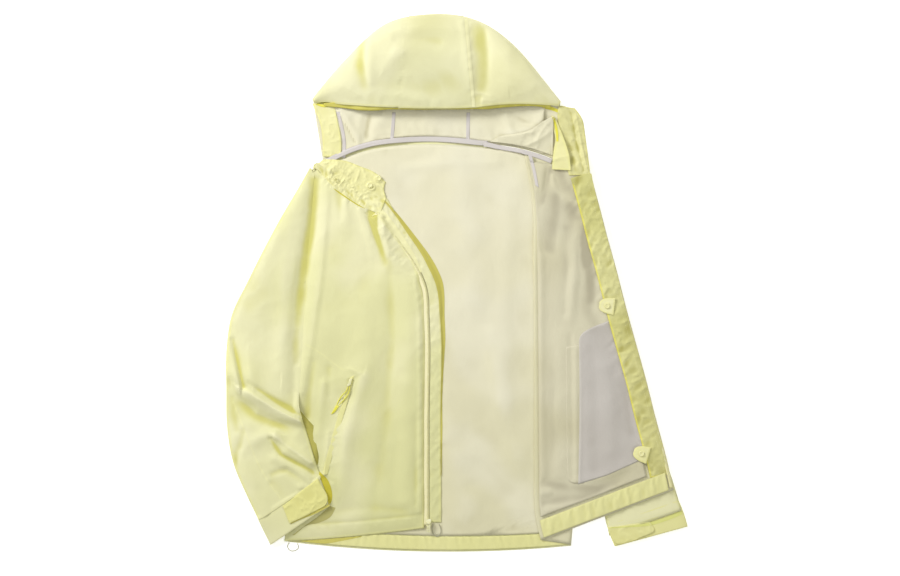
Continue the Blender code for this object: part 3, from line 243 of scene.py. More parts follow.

# colours are 8-bit; pitch and depths in millimetres. high is painted shade on the upper left, where the key lamp
# falls; the bound facing's is paler, painted light
clothLooks = {
    "shell": {"base": (228, 226, 176), "paleAndRidgeHighlight": (238, 234, 200), "valleyShade": (202, 197, 102), "doubled": (232, 229, 158),
              "low": (215, 214, 160), "drift": 0.5, "edge": 4.5, "roughness": 0.72, "sheen": 0.06, "pitch": 0.7,
              "weave": 0.05, "rumple": 0.5},
    "sleeve": {"base": (222, 220, 170), "paleAndRidgeHighlight": (232, 229, 194), "valleyShade": (200, 195, 98), "doubled": (230, 227, 150),
               "low": (225, 223, 174), "drift": 0.5, "edge": 4.5, "roughness": 0.72, "sheen": 0.06, "pitch": 0.7,
               "weave": 0.05, "rumple": 0.6},
    "hood": {"base": (232, 230, 187), "paleAndRidgeHighlight": (239, 236, 202), "valleyShade": (204, 199, 110), "doubled": (226, 222, 146),
             "low": (228, 226, 176), "high": (214, 211, 162), "drift": 0.5, "edge": 4.0, "roughness": 0.74,
             "sheen": 0.06, "pitch": 0.7, "weave": 0.05, "rumple": 0.5},
    # a paler copy of the hood look: painted light on the hood's side away from the key lamp
    "hoodSidePaintedLight": {"base": (240, 237, 190), "paleAndRidgeHighlight": (244, 241, 204), "valleyShade": (212, 208, 122), "doubled": (234, 230, 150),
                 "low": (240, 237, 190), "high": (226, 223, 168), "drift": 0.5, "edge": 4.0, "roughness": 0.74,
                 "sheen": 0.06, "pitch": 0.7, "weave": 0.05, "rumple": 0.5},
    "fell": {"base": (246, 243, 196), "paleAndRidgeHighlight": (250, 247, 210), "valleyShade": (226, 222, 150), "doubled": (246, 243, 196),
             "low": (246, 243, 196), "high": (232, 229, 172), "drift": 0.3, "edge": 0.0, "roughness": 0.72,
             "sheen": 0.06, "pitch": 0.7, "weave": 0.05, "rumple": 0.5},
    "facing": {"base": (226, 222, 150), "paleAndRidgeHighlight": (234, 231, 172), "valleyShade": (190, 184, 96), "doubled": (222, 218, 140),
               "low": (227, 224, 159), "drift": 0.4, "edge": 0.0, "roughness": 0.7, "sheen": 0.06, "pitch": 0.7,
               "weave": 0.05, "rumple": 0.9},
    "lining": {"base": (231, 226, 198), "paleAndRidgeHighlight": (236, 232, 212), "valleyShade": (186, 178, 140), "doubled": (214, 208, 190),
               "low": (222, 217, 184), "drift": 0.5, "edge": 0.0, "roughness": 0.78, "sheen": 0.1, "pitch": 1.1,
               "weave": 0.12, "rumple": 0.7},
    "frontLining": {"base": (213, 207, 178), "paleAndRidgeHighlight": (223, 218, 196), "valleyShade": (176, 169, 146),
                    "doubled": (204, 198, 186), "low": (204, 198, 168), "drift": 0.5, "edge": 0.0, "roughness": 0.78,
                    "sheen": 0.1, "pitch": 1.1, "weave": 0.12, "rumple": 0.6},
    "bag": {"base": (194, 188, 182), "paleAndRidgeHighlight": (206, 201, 197), "valleyShade": (170, 163, 154), "doubled": (214, 209, 200),
            "low": (196, 190, 184), "drift": 0.4, "edge": 3.0, "roughness": 0.8, "sheen": 0.1, "pitch": 1.3,
            "weave": 0.16, "rumple": 0.5},
    # painted shade: the dark olive of the under-sleeve where it lies in shade beside the sleeve
    "tuckShade": {"base": (184, 178, 92), "paleAndRidgeHighlight": (198, 193, 110), "valleyShade": (160, 152, 62), "doubled": (190, 184, 96),
               "low": (180, 174, 88), "drift": 0.4, "edge": 0.0, "roughness": 0.62, "sheen": 0.15, "pitch": 0.7,
               "weave": 0.05, "rumple": 0.6},
    "shaded": {"base": (214, 206, 108), "paleAndRidgeHighlight": (220, 213, 126), "valleyShade": (194, 186, 80), "doubled": (212, 203, 84),
               "low": (212, 205, 106), "drift": 0.4, "edge": 2.0, "roughness": 0.68, "sheen": 0.1, "pitch": 0.7,
               "weave": 0.05, "rumple": 0.6},
    # painted shade: the dark olive of shaded cloth, for the flap's turned side and the shade under the front hem and
    # the cuff tab
    "oliveShade": {"base": (200, 191, 94), "paleAndRidgeHighlight": (208, 200, 110), "valleyShade": (180, 171, 72), "doubled": (200, 191, 94),
                   "low": (206, 198, 106), "drift": 0.5, "edge": 0.0, "roughness": 0.68, "sheen": 0.08, "pitch": 0.7,
                   "weave": 0.05, "rumple": 0.4},
    # painted shade: the saturated yellow of shaded cloth, for the inside of the cuff's side and the line under the
    # collar
    "yellowShade": {"base": (198, 188, 60), "paleAndRidgeHighlight": (206, 197, 84), "valleyShade": (176, 166, 40), "doubled": (190, 180, 60),
                   "low": (196, 186, 62), "drift": 0.5, "edge": 0.0, "roughness": 0.68, "sheen": 0.08, "pitch": 0.7,
                   "weave": 0.05, "rumple": 0.5},
    "cuffShade": {"base": (182, 177, 112), "paleAndRidgeHighlight": (192, 187, 124), "valleyShade": (168, 162, 96), "doubled": (182, 177, 112),
                  "low": (180, 175, 110), "drift": 0.5, "edge": 0.0, "roughness": 0.72, "sheen": 0.06, "pitch": 0.7,
                  "weave": 0.05, "rumple": 0.4},
    "cuffSeam": {"base": (221, 222, 130), "paleAndRidgeHighlight": (227, 227, 148), "valleyShade": (206, 205, 112), "doubled": (221, 222, 130),
                 "low": (219, 221, 128), "drift": 0.5, "edge": 0.0, "roughness": 0.7, "sheen": 0.06, "pitch": 0.7,
                 "weave": 0.05, "rumple": 0.5},
    "brightCloth": {"base": (232, 225, 84), "paleAndRidgeHighlight": (238, 232, 120), "valleyShade": (206, 198, 56), "doubled": (232, 225, 84),
                    "low": (232, 225, 84), "drift": 0.5, "edge": 0.0, "roughness": 0.66, "sheen": 0.06, "pitch": 0.7,
                    "weave": 0.05, "rumple": 0.4},
    "cuff": {"base": (229, 225, 157), "paleAndRidgeHighlight": (236, 233, 177), "valleyShade": (192, 184, 92), "doubled": (230, 226, 150),
             "low": (225, 221, 147), "drift": 0.5, "edge": 0.0, "roughness": 0.7, "sheen": 0.06, "pitch": 0.7,
             "weave": 0.05, "rumple": 1.0},
    "collar": {"base": (234, 230, 172), "paleAndRidgeHighlight": (242, 239, 196), "valleyShade": (196, 189, 92), "doubled": (236, 232, 150),
               "low": (234, 230, 168), "drift": 0.5, "edge": 3.0, "roughness": 0.7, "sheen": 0.06, "pitch": 0.7,
               "weave": 0.05, "rumple": 0.9},
    "bound": {"base": (210, 207, 140), "paleAndRidgeHighlight": (229, 226, 170), "valleyShade": (164, 157, 72), "doubled": (244, 234, 10),
              "low": (209, 205, 136), "high": (217, 214, 152), "drift": 0.5, "edge": 3.2, "roughness": 0.7,
              "sheen": 0.06, "pitch": 0.7, "weave": 0.05, "rumple": 2.0},
    "stand": {"base": (223, 219, 160), "paleAndRidgeHighlight": (233, 230, 182), "valleyShade": (172, 166, 80), "doubled": (232, 227, 136),
              "low": (216, 211, 151), "drift": 0.6, "edge": 2.6, "roughness": 0.7, "sheen": 0.06, "pitch": 0.7,
              "weave": 0.05, "rumple": 2.0},
    "folded": {"base": (222, 217, 184), "paleAndRidgeHighlight": (230, 226, 200), "valleyShade": (190, 184, 140), "doubled": (226, 221, 196),
               "low": (214, 209, 172), "drift": 0.4, "edge": 0.0, "roughness": 0.74, "sheen": 0.06, "pitch": 0.8,
               "weave": 0.08, "rumple": 0.6},
    "zipTape": {"base": (236, 230, 190), "paleAndRidgeHighlight": (240, 236, 204), "valleyShade": (206, 198, 120), "doubled": (232, 226, 120),
                "low": (234, 228, 186), "drift": 0.3, "edge": 1.2, "roughness": 0.6, "sheen": 0.05, "pitch": 0.6,
                "weave": 0.06, "rumple": 0.2},
    "tape": {"base": (211, 205, 203), "paleAndRidgeHighlight": (218, 213, 210), "valleyShade": (190, 184, 184), "doubled": (206, 200, 200),
             "low": (209, 203, 201), "drift": 0.3, "edge": 1.0, "roughness": 0.5, "sheen": 0.05, "pitch": 0.6,
             "weave": 0.04, "rumple": 0.2},
}
plainLooks = {
    "coil": {"colour": (231, 228, 176), "worn": (238, 235, 196), "roughness": 0.42},
    "slider": {"colour": (226, 223, 170), "worn": (240, 238, 206), "roughness": 0.34},
    "snap": {"colour": (232, 228, 166), "worn": (240, 237, 186), "roughness": 0.4},
    "bright": {"colour": (226, 220, 66), "worn": (236, 232, 110), "roughness": 0.42},
    "cord": {"colour": (178, 176, 150), "worn": (196, 194, 170), "roughness": 0.4},
    "thread": {"colour": (236, 233, 182), "worn": (242, 240, 200), "roughness": 0.6},
    "brightThread": {"colour": (226, 222, 112), "worn": (236, 232, 146), "roughness": 0.6},
    "seamThread": {"colour": (252, 249, 186), "worn": (236, 232, 146), "roughness": 0.6},
}
materials = {}


def newMaterial(name):
    material = bpy.data.materials.new(name)
    material.use_nodes = True
    tree = material.node_tree
    place = tree.nodes.new("ShaderNodeTexCoord").outputs["Object"]
    return material, tree, tree.nodes["Principled BSDF"].inputs, place


def attribute(tree, name):
    node = tree.nodes.new("ShaderNodeAttribute")
    node.attribute_name = name
    return node.outputs["Fac"]


def makeClothLook(name, look):
    material, tree, shader, place = newMaterial(name + "Cloth")
    weave = placeGroup(tree, groups["weave"], Vector=place, Pitch=look["pitch"] * mm)
    tone = placeGroup(tree, groups["tone"], Vector=place, Base=linear(*look["base"]), Pale=linear(*look["paleAndRidgeHighlight"]),
                      Deep=linear(*look["valleyShade"]), Doubled=linear(*look["doubled"]), Low=linear(*look["low"]),
                      High=linear(*look.get("high", look["base"])),
                      Relief=attribute(tree, "relief"), Edge=attribute(tree, "edge"), Drift=look["drift"],
                      Shade=weave["Shade"], **{"Edge Width": look["edge"]})
    tree.links.new(tone["Color"], shader["Base Color"])
    shader["Roughness"].default_value = look["roughness"]
    shader["Sheen Weight"].default_value = look["sheen"]
    shader["Sheen Roughness"].default_value = 0.45
    shader["Specular IOR Level"].default_value = 0.2
    rumple = placeGroup(tree, groups["rumple"], Vector=place, Scale=46.0)
    fine = calc(tree, "MULTIPLY", weave["Height"], look["weave"] * mm)
    broad = calc(tree, "MULTIPLY", rumple["Height"], look["rumple"] * mm)
    bump = tree.nodes.new("ShaderNodeBump")
    bump.inputs["Distance"].default_value = 1.0
    bump.inputs["Strength"].default_value = 0.8
    tree.links.new(calc(tree, "ADD", fine, broad), bump.inputs["Height"])
    tree.links.new(bump.outputs[0], shader["Normal"])
    materials[name] = material


def makePlainLook(name, look):
    material, tree, shader, place = newMaterial(name + "Finish")
    worn = spread(tree, noise(tree, place, 260, 3), 0.45, 0.7)
    tree.links.new(blendInto(tree, worn, linear(*look["colour"]), linear(*look["worn"])), shader["Base Color"])
    rough = calc(tree, "ADD", calc(tree, "MULTIPLY", worn, 0.12), look["roughness"] - 0.06)
    tree.links.new(rough, shader["Roughness"])
    bump = tree.nodes.new("ShaderNodeBump")
    bump.inputs["Distance"].default_value = 0.05 * mm
    tree.links.new(noise(tree, place, 1500, 2), bump.inputs["Height"])
    tree.links.new(bump.outputs[0], shader["Normal"])
    materials[name] = material


def makeFloor():
    shape = bmesh.new()
    bmesh.ops.create_grid(shape, x_segments=8, y_segments=8, size=floorLook["size"] / 2)
    mesh = bpy.data.meshes.new("floor")
    shape.to_mesh(mesh)
    shape.free()
    holder = bpy.data.objects.new("floor", mesh)
    bpy.context.scene.collection.objects.link(holder)
    material, tree, shader, place = newMaterial("paleFloor")
    share = noise(tree, place, 2.0, 3)
    tree.links.new(blendInto(tree, share, linear(*floorLook["low"]), linear(*floorLook["high"])),
                   shader["Base Color"])
    shader["Roughness"].default_value = floorLook["roughness"]
    shader["Emission Color"].default_value = (1, 1, 1, 1)
    shader["Emission Strength"].default_value = floorLook["glow"]
    mesh.materials.append(material)


makeView()
makeFloor()
for name, look in clothLooks.items():
    makeClothLook(name, look)
for name, look in plainLooks.items():
    makePlainLook(name, look)
print("materials ready")

# cords, in millimetres along their middle line

cordDiameter = 1.6
cords = {
    "pullerStrandA": {
        "node": "right_puller_strand_a", "look": "bright", "slot": "puller", "end": "object",
        "route": ((-190.6, -182.0, 11.7), (-191.5, -185.6, 11.7), (-193.1, -188.8, 11.6), (-195.6, -191.5, 11.4),
                  (-198.2, -194.1, 11.1), (-200.6, -197.0, 9.4), (-202.8, -199.9, 8.2), (-204.8, -202.9, 7.5),
                  (-206.6, -206.1, 7.2), (-208.1, -209.4, 7.1), (-209.6, -212.8, 7.1))},
    "pullerStrandB": {
        "node": "right_puller_strand_b", "look": "bright", "slot": "puller", "end": "object",
        "route": ((-187.2, -180.9, 11.7), (-187.3, -184.4, 11.7), (-187.8, -187.9, 11.6), (-188.8, -191.3, 11.4),
                  (-190.3, -194.6, 11.2), (-192.0, -197.6, 11.0), (-194.1, -200.4, 10.7), (-196.4, -203.1, 10.6),
                  (-198.8, -205.8, 10.4), (-201.2, -208.3, 10.4), (-203.7, -210.8, 10.4), (-206.2, -213.3, 10.4))},
    "hemLoopSide": {
        "node": "hem_loop_side", "look": "cord", "slot": "elastic_cord", "end": "object",
        "route": ((-293.0, -454.4, 0.8), (-295.1, -457.6, 0.8), (-296.5, -460.8, 0.8), (-295.5, -464.2, 0.8),
                  (-293.0, -467.4, 0.8), (-289.9, -468.9, 0.8), (-286.1, -469.0, 0.8), (-282.6, -468.0, 0.8),
                  (-279.2, -465.9, 0.8), (-277.0, -463.1, 0.8), (-277.5, -459.8, 0.8), (-279.0, -456.2, 0.8))},
    "hemLoopFront": {
        "node": "hem_loop_front", "look": "cord", "slot": "elastic_cord", "end": "object",
        "route": ((-41.0, -421.6, 5.8), (-42.0, -425.1, 4.9), (-42.9, -428.7, 4.3), (-42.9, -432.3, 4.0),
                  (-42.3, -436.0, 3.9), (-40.8, -439.2, 3.8), (-38.1, -442.1, 3.8), (-35.0, -443.5, 3.8),
                  (-31.8, -442.0, 3.8), (-29.1, -439.1, 3.8), (-27.9, -435.8, 3.9), (-27.8, -432.0, 4.0),
                  (-28.3, -428.4, 4.3), (-29.6, -425.0, 4.9), (-31.0, -421.6, 5.8))},
}


def settle(name, holder, slot, *nodes):
    # the piece stands for its CAD nodes, on the jacket's body
    bpy.context.scene.collection.objects.link(holder) if not holder.users_collection else None
    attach(holder, "jacket")
    if nodes:
        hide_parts(*nodes)
    finished[name] = holder
    return holder


def makeCord(name, values):
    curve = bpy.data.curves.new(name, "CURVE")
    curve.dimensions = "3D"
    curve.bevel_depth = cordDiameter / 2 * mm
    curve.bevel_resolution = 3
    curve.use_fill_caps = True
    line = curve.splines.new("POLY")
    line.points.add(len(values["route"]) - 1)
    for point, place in zip(line.points, values["route"]):
        point.co = (*(Vector(place) * mm), 1)
    curve.materials.append(materials[values["look"]])
    holder = settle(name, bpy.data.objects.new(name, curve), values["slot"], values["node"])


for name, values in cords.items():
    makeCord(name, values)
print("cords ready")

# shapes of cloth

# sewn edges of the body, in millimetres
seams = {
    "rightSide": ((-302, -452), (-294, -388), (-283, -275), (-274, -170), (-270, -108), (-265, -21), (-260, 58),
                  (-253, 131), (-248, 201)),
    "frontZip": ((-57, -429), (-57, -240), (-57, -60), (-61, -8), (-76, 26), (-106, 70), (-127, 98), (-150, 126)),
    "leftZip": ((379, -362), (367, -308), (347, -234), (330, -166), (312, -102), (295, -40), (279, 23), (262, 84),
                (250, 131), (241, 164), (234, 196)),
    "leftFold": ((146, -453), (136, -412), (134, -327), (134, -170), (133, 58), (132, 130), (126, 180), (116, 226)),
    "neck": ((-248, 201), (-195, 229), (-148, 244), (-99, 250), (-46, 252), (6, 249), (55, 243), (90, 239),
             (120, 233), (144, 226), (171, 215), (199, 197)),
    "frontHem": ((-302, -452), (-250, -448), (-190, -443), (-130, -437), (-57, -429)),
    "backHem": ((-301, -453), (-240, -460), (-180, -465.5), (-110, -469), (-43, -470), (40, -469.5), (120, -466),
                (199, -460)),
    "leftHem": ((146, -449), (190, -432), (240, -415), (300, -392), (379, -362)),
    "brim": ((-245, 312), (-218, 311), (-186, 310), (-162, 308), (-146, 307), (-57, 303), (29, 305), (71, 310),
             (112, 312), (150, 311), (176, 309)),
    "hoodSeamRight": ((-102, 304.5), (-96, 368.5), (-90, 432.5), (-88, 453), (-87, 467)),
    "hoodSeamLeft": ((29.3, 305), (23.7, 368.5), (18.1, 432.5), (16.3, 453), (15.2, 467)),
    "facingTop": ((200, 170), (220, 172), (240, 174)),
    "standEdge": ((206, 297), (212, 262), (221, 222), (230, 188)),
    "collarJoin": ((-243, 198), (-222, 174), (-208, 162), (-193, 150.5), (-170, 136.5), (-148, 125.5)),
    "pocket": ((-231, -337), (-211, -261), (-188, -181), (-183, -163)),
    "forearm": ((-392, -205), (-378, -240), (-364, -275), (-347, -315), (-327, -350), (-305, -380)),
    "flapJoin": ((-54, -2), (-67.7, 31.6), (-97.9, 75.8), (-119, 104), (-142, 132)),
    "leftCuffTop": ((263, -409), (304, -399), (345, -388.5), (386, -378)),
    "cuffTop": ((-349, -410), (-312, -385.5), (-276, -361), (-240, -337)),
    "sideDart": ((-266, -106), (-245, -118), (-222, -135), (-196, -154)),
}


def smoothLine(points, step=2.0):
    # even points on a soft curve through the given ones
    given = np.array(points, float)
    travel = np.concatenate([[0], np.cumsum(np.linalg.norm(np.diff(given, axis=0), axis=1))])
    slopes = np.gradient(given, travel, axis=0)
    at = np.linspace(0, travel[-1], max(2, int(travel[-1] / step) + 1))
    i = np.clip(np.searchsorted(travel, at, side="right") - 1, 0, len(travel) - 2)
    gap = (travel[i + 1] - travel[i])[:, None]
    t = (at - travel[i])[:, None] / gap
    return (given[i] * (1 + 2 * t) * (1 - t) ** 2 + slopes[i] * gap * t * (1 - t) ** 2
            + given[i + 1] * t * t * (3 - 2 * t) + slopes[i + 1] * gap * t * t * (t - 1))


def besideLine(line, offset):
    # the line moved to its left by the offset
    along = np.gradient(line, axis=0)
    along /= np.linalg.norm(along, axis=1)[:, None]
    return line + np.stack([-along[:, 1], along[:, 0]], axis=1) * offset


def creaseHeight(rows, x, y):
    # rows of: width on the left, width on the right, and the points x, y, height of the crease's line
    # a side of 5 mm or less is crisp, a wider one soft
    total = np.zeros_like(x)
    for left, right, points in rows:
        nearest, height = np.full(len(x), 1e9), np.zeros(len(x))
        power = 2.0 if left > 5 else 1.3, 2.0 if right > 5 else 1.3
        for (x0, y0, first), (x1, y1, last) in zip(points, points[1:]):
            dx, dy = x1 - x0, y1 - y0
            length = math.hypot(dx, dy)
            t = ((x - x0) * dx + (y - y0) * dy) / length ** 2
            inside = np.clip(t, 0, 1)
            away = np.hypot(x - x0 - inside * dx, y - y0 - inside * dy)
            side = (y - y0) * dx - (x - x0) * dy > 0
            share = (away / np.where(side, left, right)) ** np.where(side, *power)
            closer = away < nearest
            nearest = np.where(closer, away, nearest)
            height = np.where(closer, (first + (last - first) * inside) * np.exp(-share), height)
        total += height
    return total


def alongSeam(seam, offset, x, y):
    # where each point is by a seam moved to its left: how far along, how far left, how far away, and its heading
    line = besideLine(smoothLine(seams[seam], 6.0), offset)
    gap, nearest = np.full(len(x), 1e9), np.zeros(len(x), int)
    for i, (px, py) in enumerate(line):
        away = np.hypot(x - px, y - py)
        near = away < gap
        gap, nearest = np.where(near, away, gap), np.where(near, i, nearest)
    heading = np.gradient(line, axis=0)
    unit = (heading / np.linalg.norm(heading, axis=1)[:, None])[nearest]
    rest = np.stack([x, y], axis=1) - line[nearest]
    left = rest[:, 1] * unit[:, 0] - rest[:, 0] * unit[:, 1]
    return nearest * np.linalg.norm(line[1] - line[0]) + (rest * unit).sum(axis=1), left, gap, unit


def puckerHeight(rows, x, y):
    # rows of: seam, offset, wave length, reach, height, slant
    total = np.zeros_like(x)
    for seam, offset, wave, reach, height, slant in rows:
        travel, left, gap, _ = alongSeam(seam, offset, x, y)
        travel = travel + slant * left
        ripple = np.sin(2 * np.pi * travel / wave + 1.4 * np.sin(2 * np.pi * travel / (3.7 * wave)))
        ripple += 0.5 * np.sin(2 * np.pi * travel / (0.57 * wave) + 2.0) * np.sin(2 * np.pi * travel / (5.3 * wave))
        total += height * ripple * np.exp(-(gap / reach) ** 2)
    return total


def drawnOut(rows, x, y):
    # rows of: seam, offset that stays, offset that moves, how far to the left, from and to where along the seam
    moved = np.zeros((len(x), 2))
    for seam, still, moving, shift, start, end in rows:
        travel, left, _, unit = alongSeam(seam, 0, x, y)
        share = np.clip((left - still) / (moving - still), 0, 1)
        share = share * share * (3 - 2 * share)
        share = share * np.clip((travel - start) / 40 + 0.5, 0, 1) * np.clip((end - travel) / 40 + 0.5, 0, 1)
        moved += np.stack([-unit[:, 1], unit[:, 0]], axis=1) * (share * shift)[:, None]
    return moved


def swell(x, y, high):
    # slow unevenness of cloth that lies loose
    total = 0.0
    for angle, wave, shift, share in (
            (0.3, 150, 0.4, 0.4), (1.5, 96, 2.1, 0.3), (2.4, 63, 4.2, 0.2), (0.9, 41, 1.0, 0.12)):
        total = total + share * np.sin(2 * np.pi * (x * math.cos(angle) + y * math.sin(angle)) / wave + shift)
    return total * high


def crumple(points, size, high):
    # crisp little creases of stiff thin cloth
    if not high:
        return np.zeros(len(points))
    scale = 1 / (size * mm)
    return np.array([unevenness.ridged_multi_fractal(Vector(p) * scale, 0.9, 2.1, 3, 0.9, 1.6) for p in points]) * high


def sheetOf(node, side):
    # one face of a CAD wall as quads: its upper face, or the whole face that holds its lowest or highest point
    shape = bmesh.new()
    shape.from_mesh(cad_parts[node].data)
    bmesh.ops.remove_doubles(shape, verts=shape.verts, dist=0.01 * mm)
    bmesh.ops.join_triangles(shape, faces=shape.faces, angle_face_threshold=0.7, angle_shape_threshold=1.3)
    if side == "up":
        kept = {face for face in shape.faces if face.normal.z > 0.05}
    elif side == "all":
        kept = set(shape.faces)
    else:
        waiting, regions = set(shape.faces), []
        while waiting:
            region = [waiting.pop()]
            for face in region:
                for edge in face.edges:
                    if len(edge.link_faces) == 2 and edge.calc_face_angle() < 1.05:
                        for other in edge.link_faces:
                            if other in waiting:
                                waiting.discard(other)
                                region.append(other)
            regions.append(region)
        regions.sort(key=lambda region: -sum(face.calc_area() for face in region))
        reach = [[vert.co.z for face in region for vert in face.verts] for region in regions[:2]]
        if side == "low":
            kept = set(regions[0] if min(reach[0]) < min(reach[1]) else regions[1])
        else:
            kept = set(regions[0] if max(reach[0]) > max(reach[1]) else regions[1])
    bmesh.ops.delete(shape, geom=[face for face in shape.faces if face not in kept], context="FACES")
    return shape


def rounded(name, shape, levels):
    # the sheet as a smooth surface with its outline kept
    mesh = bpy.data.meshes.new(name)
    shape.to_mesh(mesh)
    shape.free()
    holder = bpy.data.objects.new(name, mesh)
    bpy.context.scene.collection.objects.link(holder)
    soft = holder.modifiers.new("soft", "SUBSURF")
    soft.levels = soft.render_levels = levels
    soft.boundary_smooth = "PRESERVE_CORNERS"
    soft.use_creases = True
    final = bpy.data.meshes.new_from_object(holder.evaluated_get(bpy.context.evaluated_depsgraph_get()))
    holder.modifiers.clear()
    holder.data = final
    bpy.data.meshes.remove(mesh)
    final.name = name
    return holder


def rimOf(mesh):
    # the vertices on the sheet's outline
    counts = np.zeros(len(mesh.edges), int)
    loops = np.zeros(len(mesh.loops), int)
    mesh.loops.foreach_get("edge_index", loops)
    np.add.at(counts, loops, 1)
    ends = np.zeros(len(mesh.edges) * 2, int)
    mesh.edges.foreach_get("vertices", ends)
    return np.unique(ends.reshape(-1, 2)[counts == 1])


def freeRim(points, rim, sewn):
    # which edge vertices aren't sewn to another piece
    free = np.ones(len(rim), bool)
    for seam, catch in sewn:
        line = smoothLine(seams[seam], 3.0)
        gap = np.hypot(points[rim, :1] / mm - line[:, 0], points[rim, 1:2] / mm - line[:, 1]).min(axis=1)
        free &= gap > catch
    return free


def edgeDistance(points, rim, sewn):
    # millimetres from each point to the nearest edge that isn't sewn to another piece
    free = freeRim(points, rim, sewn)
    if not free.any():
        return np.full(len(points), 60.0)
    tree = KDTree(int(free.sum()))
    for i in rim[free]:
        tree.insert(points[i], int(i))
    tree.balance()
    return np.array([tree.find(point)[2] for point in points]) / mm


def roomAbove(points, nodes):
    # 0 under the pieces that lie on the cloth, 1 away from them
    share = np.ones(len(points))
    for node in nodes:
        above = BVHTree.FromObject(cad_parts[node], bpy.context.evaluated_depsgraph_get())
        covered = [i for i, p in enumerate(points) if above.ray_cast(Vector(p), Vector((0, 0, 1)))[0] is not None]
        if covered:
            tree = KDTree(len(covered))
            for i in covered:
                tree.insert(points[i], i)
            tree.balance()
            away = np.array([tree.find(p)[2] for p in points]) / mm
            share = np.minimum(share, 1 - np.exp(-(away / 9) ** 2))
    return share


def makeCloth(name, values):
    holder = rounded(name, sheetOf(values["node"], values.get("side", "up")), values["levels"])
    mesh = holder.data
    points = np.zeros(len(mesh.vertices) * 3)
    mesh.vertices.foreach_get("co", points)
    points = points.reshape(-1, 3)
    flatHeight = points[:, 2].copy()
    x, y = points[:, 0] / mm, points[:, 1] / mm
    rims[name] = rimOf(mesh)
    edge = edgeDistance(points, rims[name], values.get("sewn", ()))
    relief = creaseHeight(values.get("creases", ()), x, y) + swell(x, y, values.get("swell", 0.0))
    size, high = values.get("crumple", (20, 0.0))
    relief += crumple(points, size, high) - high
    for middleX, middleY, reach, size, high in values.get("crinkled", ()):     # places with crisper creases
        near = np.exp(-(np.hypot(x - middleX, y - middleY) / reach) ** 2)
        relief += (crumple(points, size, high) - high) * near
    pucker = puckerHeight(values.get("puckers", ()), x, y)
    held = np.ones(len(x)) * roomAbove(points, values.get("under", ()))
    for calmX, calmY, reach in values.get("calm", ()):
        held *= 1 - np.exp(-(np.hypot(x - calmX, y - calmY) / reach) ** 2)
    hold = values.get("rimHold", 0.0)      # how far in from its outline the cloth is held down
    if hold:
        held *= 1 - np.exp(-(edge / hold) ** 2)
    high, reach = values.get("loft", (0.0, 10.0))      # how far the cloth stands off, and how soon behind its edge
    relief = relief + pucker
    lift = relief * held + high * held * (1 - np.exp(-(edge / reach) ** 2))
    above = values.get("above")            # only what lies above this height moves
    if above is not None:
        lift = lift * np.clip((points[:, 2] / mm - above) / 6.0, 0, 1)
    lowest = values.get("lowest", -1.1)
    lift = np.where(lift > lowest + 1, lift, lowest + np.exp(np.minimum(lift - lowest - 1, 0)))    # no sharp stop
    lift -= values.get("rimDrop", 0.0) * np.exp(-(edge / 1.6) ** 2)
    for middleX, middleY, radius, high in values.get("rings", ()):             # cloth pressed up round a snap
        lift += high * np.exp(-((np.hypot(x - middleX, y - middleY) - radius) / 1.4) ** 2)
    points[:, 2] += lift * mm
    if "hang" in values:                   # an edge that hangs below its seam: x, how far down
        spots, drops = zip(*values["hang"])
        share = np.interp(x, spots, drops) * np.clip((values["hangFrom"] - y) / 14, 0, 1)
        points[:, 1] -= share * mm
        points[:, 2] -= share * 0.3 * mm
    for pullX, pullY, reach, shiftX, shiftY in values.get("pulls", ()):
        share = np.exp(-((x - pullX) ** 2 + (y - pullY) ** 2) / reach ** 2)
        points[:, 0] += share * shiftX * mm
        points[:, 1] += share * shiftY * mm
    points[:, :2] += drawnOut(values.get("drawn", ()), x, y) * mm
    for still, moving, shift in values.get("slide", ()):       # x that stays, x that moves, how far
        points[:, 0] += np.clip((x - still) / (moving - still), 0, 1) * shift * mm
    points[:, 2] += values.get("raise", 0.0) * mm
    if values.get("side", "up") == "up":   # the underside of the wall stays on the floor
        points[:, 2] = np.maximum(points[:, 2], (values.get("wall", 0.0) + 0.1) * mm)
    mesh.vertices.foreach_set("co", np.column_stack((points[:, :2], flatHeight)).ravel())
    mesh.update()
    mesh.vertices.foreach_set("co", points.ravel())
    for label, data in (("relief", relief * held), ("edge", np.minimum(edge, 60))):
        layer = mesh.attributes.new(label, "FLOAT", "POINT")
        layer.data.foreach_set("value", data.astype(np.float32))
    if "sewn" in values:                   # a sewn edge keeps the shading of the cloth, with no rounding
        joined = set(rims[name][~freeRim(points, rims[name], values["sewn"])].tolist())
        for line in mesh.edges:
            line.use_edge_sharp = line.vertices[0] in joined and line.vertices[1] in joined
    mesh.materials.clear()
    mesh.materials.append(materials[values["look"]])
    if "inside" in values:
        mesh.materials.append(materials[values["inside"]])
    if "patch" in values:                  # another look between two x and two y
        look, left, right, low, high = values["patch"]
        mesh.materials.append(materials[look])
        for face in mesh.polygons:
            if left < face.center.x / mm < right and low < face.center.y / mm < high:
                face.material_index = 1
    mesh.shade_smooth()
    mesh.update()
    if values.get("wall"):
        wall = holder.modifiers.new("wall", "SOLIDIFY")
        wall.thickness = values["wall"] * mm
        wall.offset = -1
        wall.use_rim = True
        if "inside" in values:
            wall.material_offset = 1
    settle(name, holder, values["slot"], values["node"])


# the soft valley where the sleeve is sewn to the front, and the light ridge beside it
raglanCreases = (
    (12, 12, ((-248, 178, -3), (-258, 90, -4.4), (-272, 10, -4.6), (-283, -104, -3.8), (-284, -190, -1.2))),
    (7, 14, ((-226, 176, 2), (-231, 97.9, 2.4), (-238, 20, 2.6), (-255, -104, 2.2), (-268, -186, 1.2))),
)
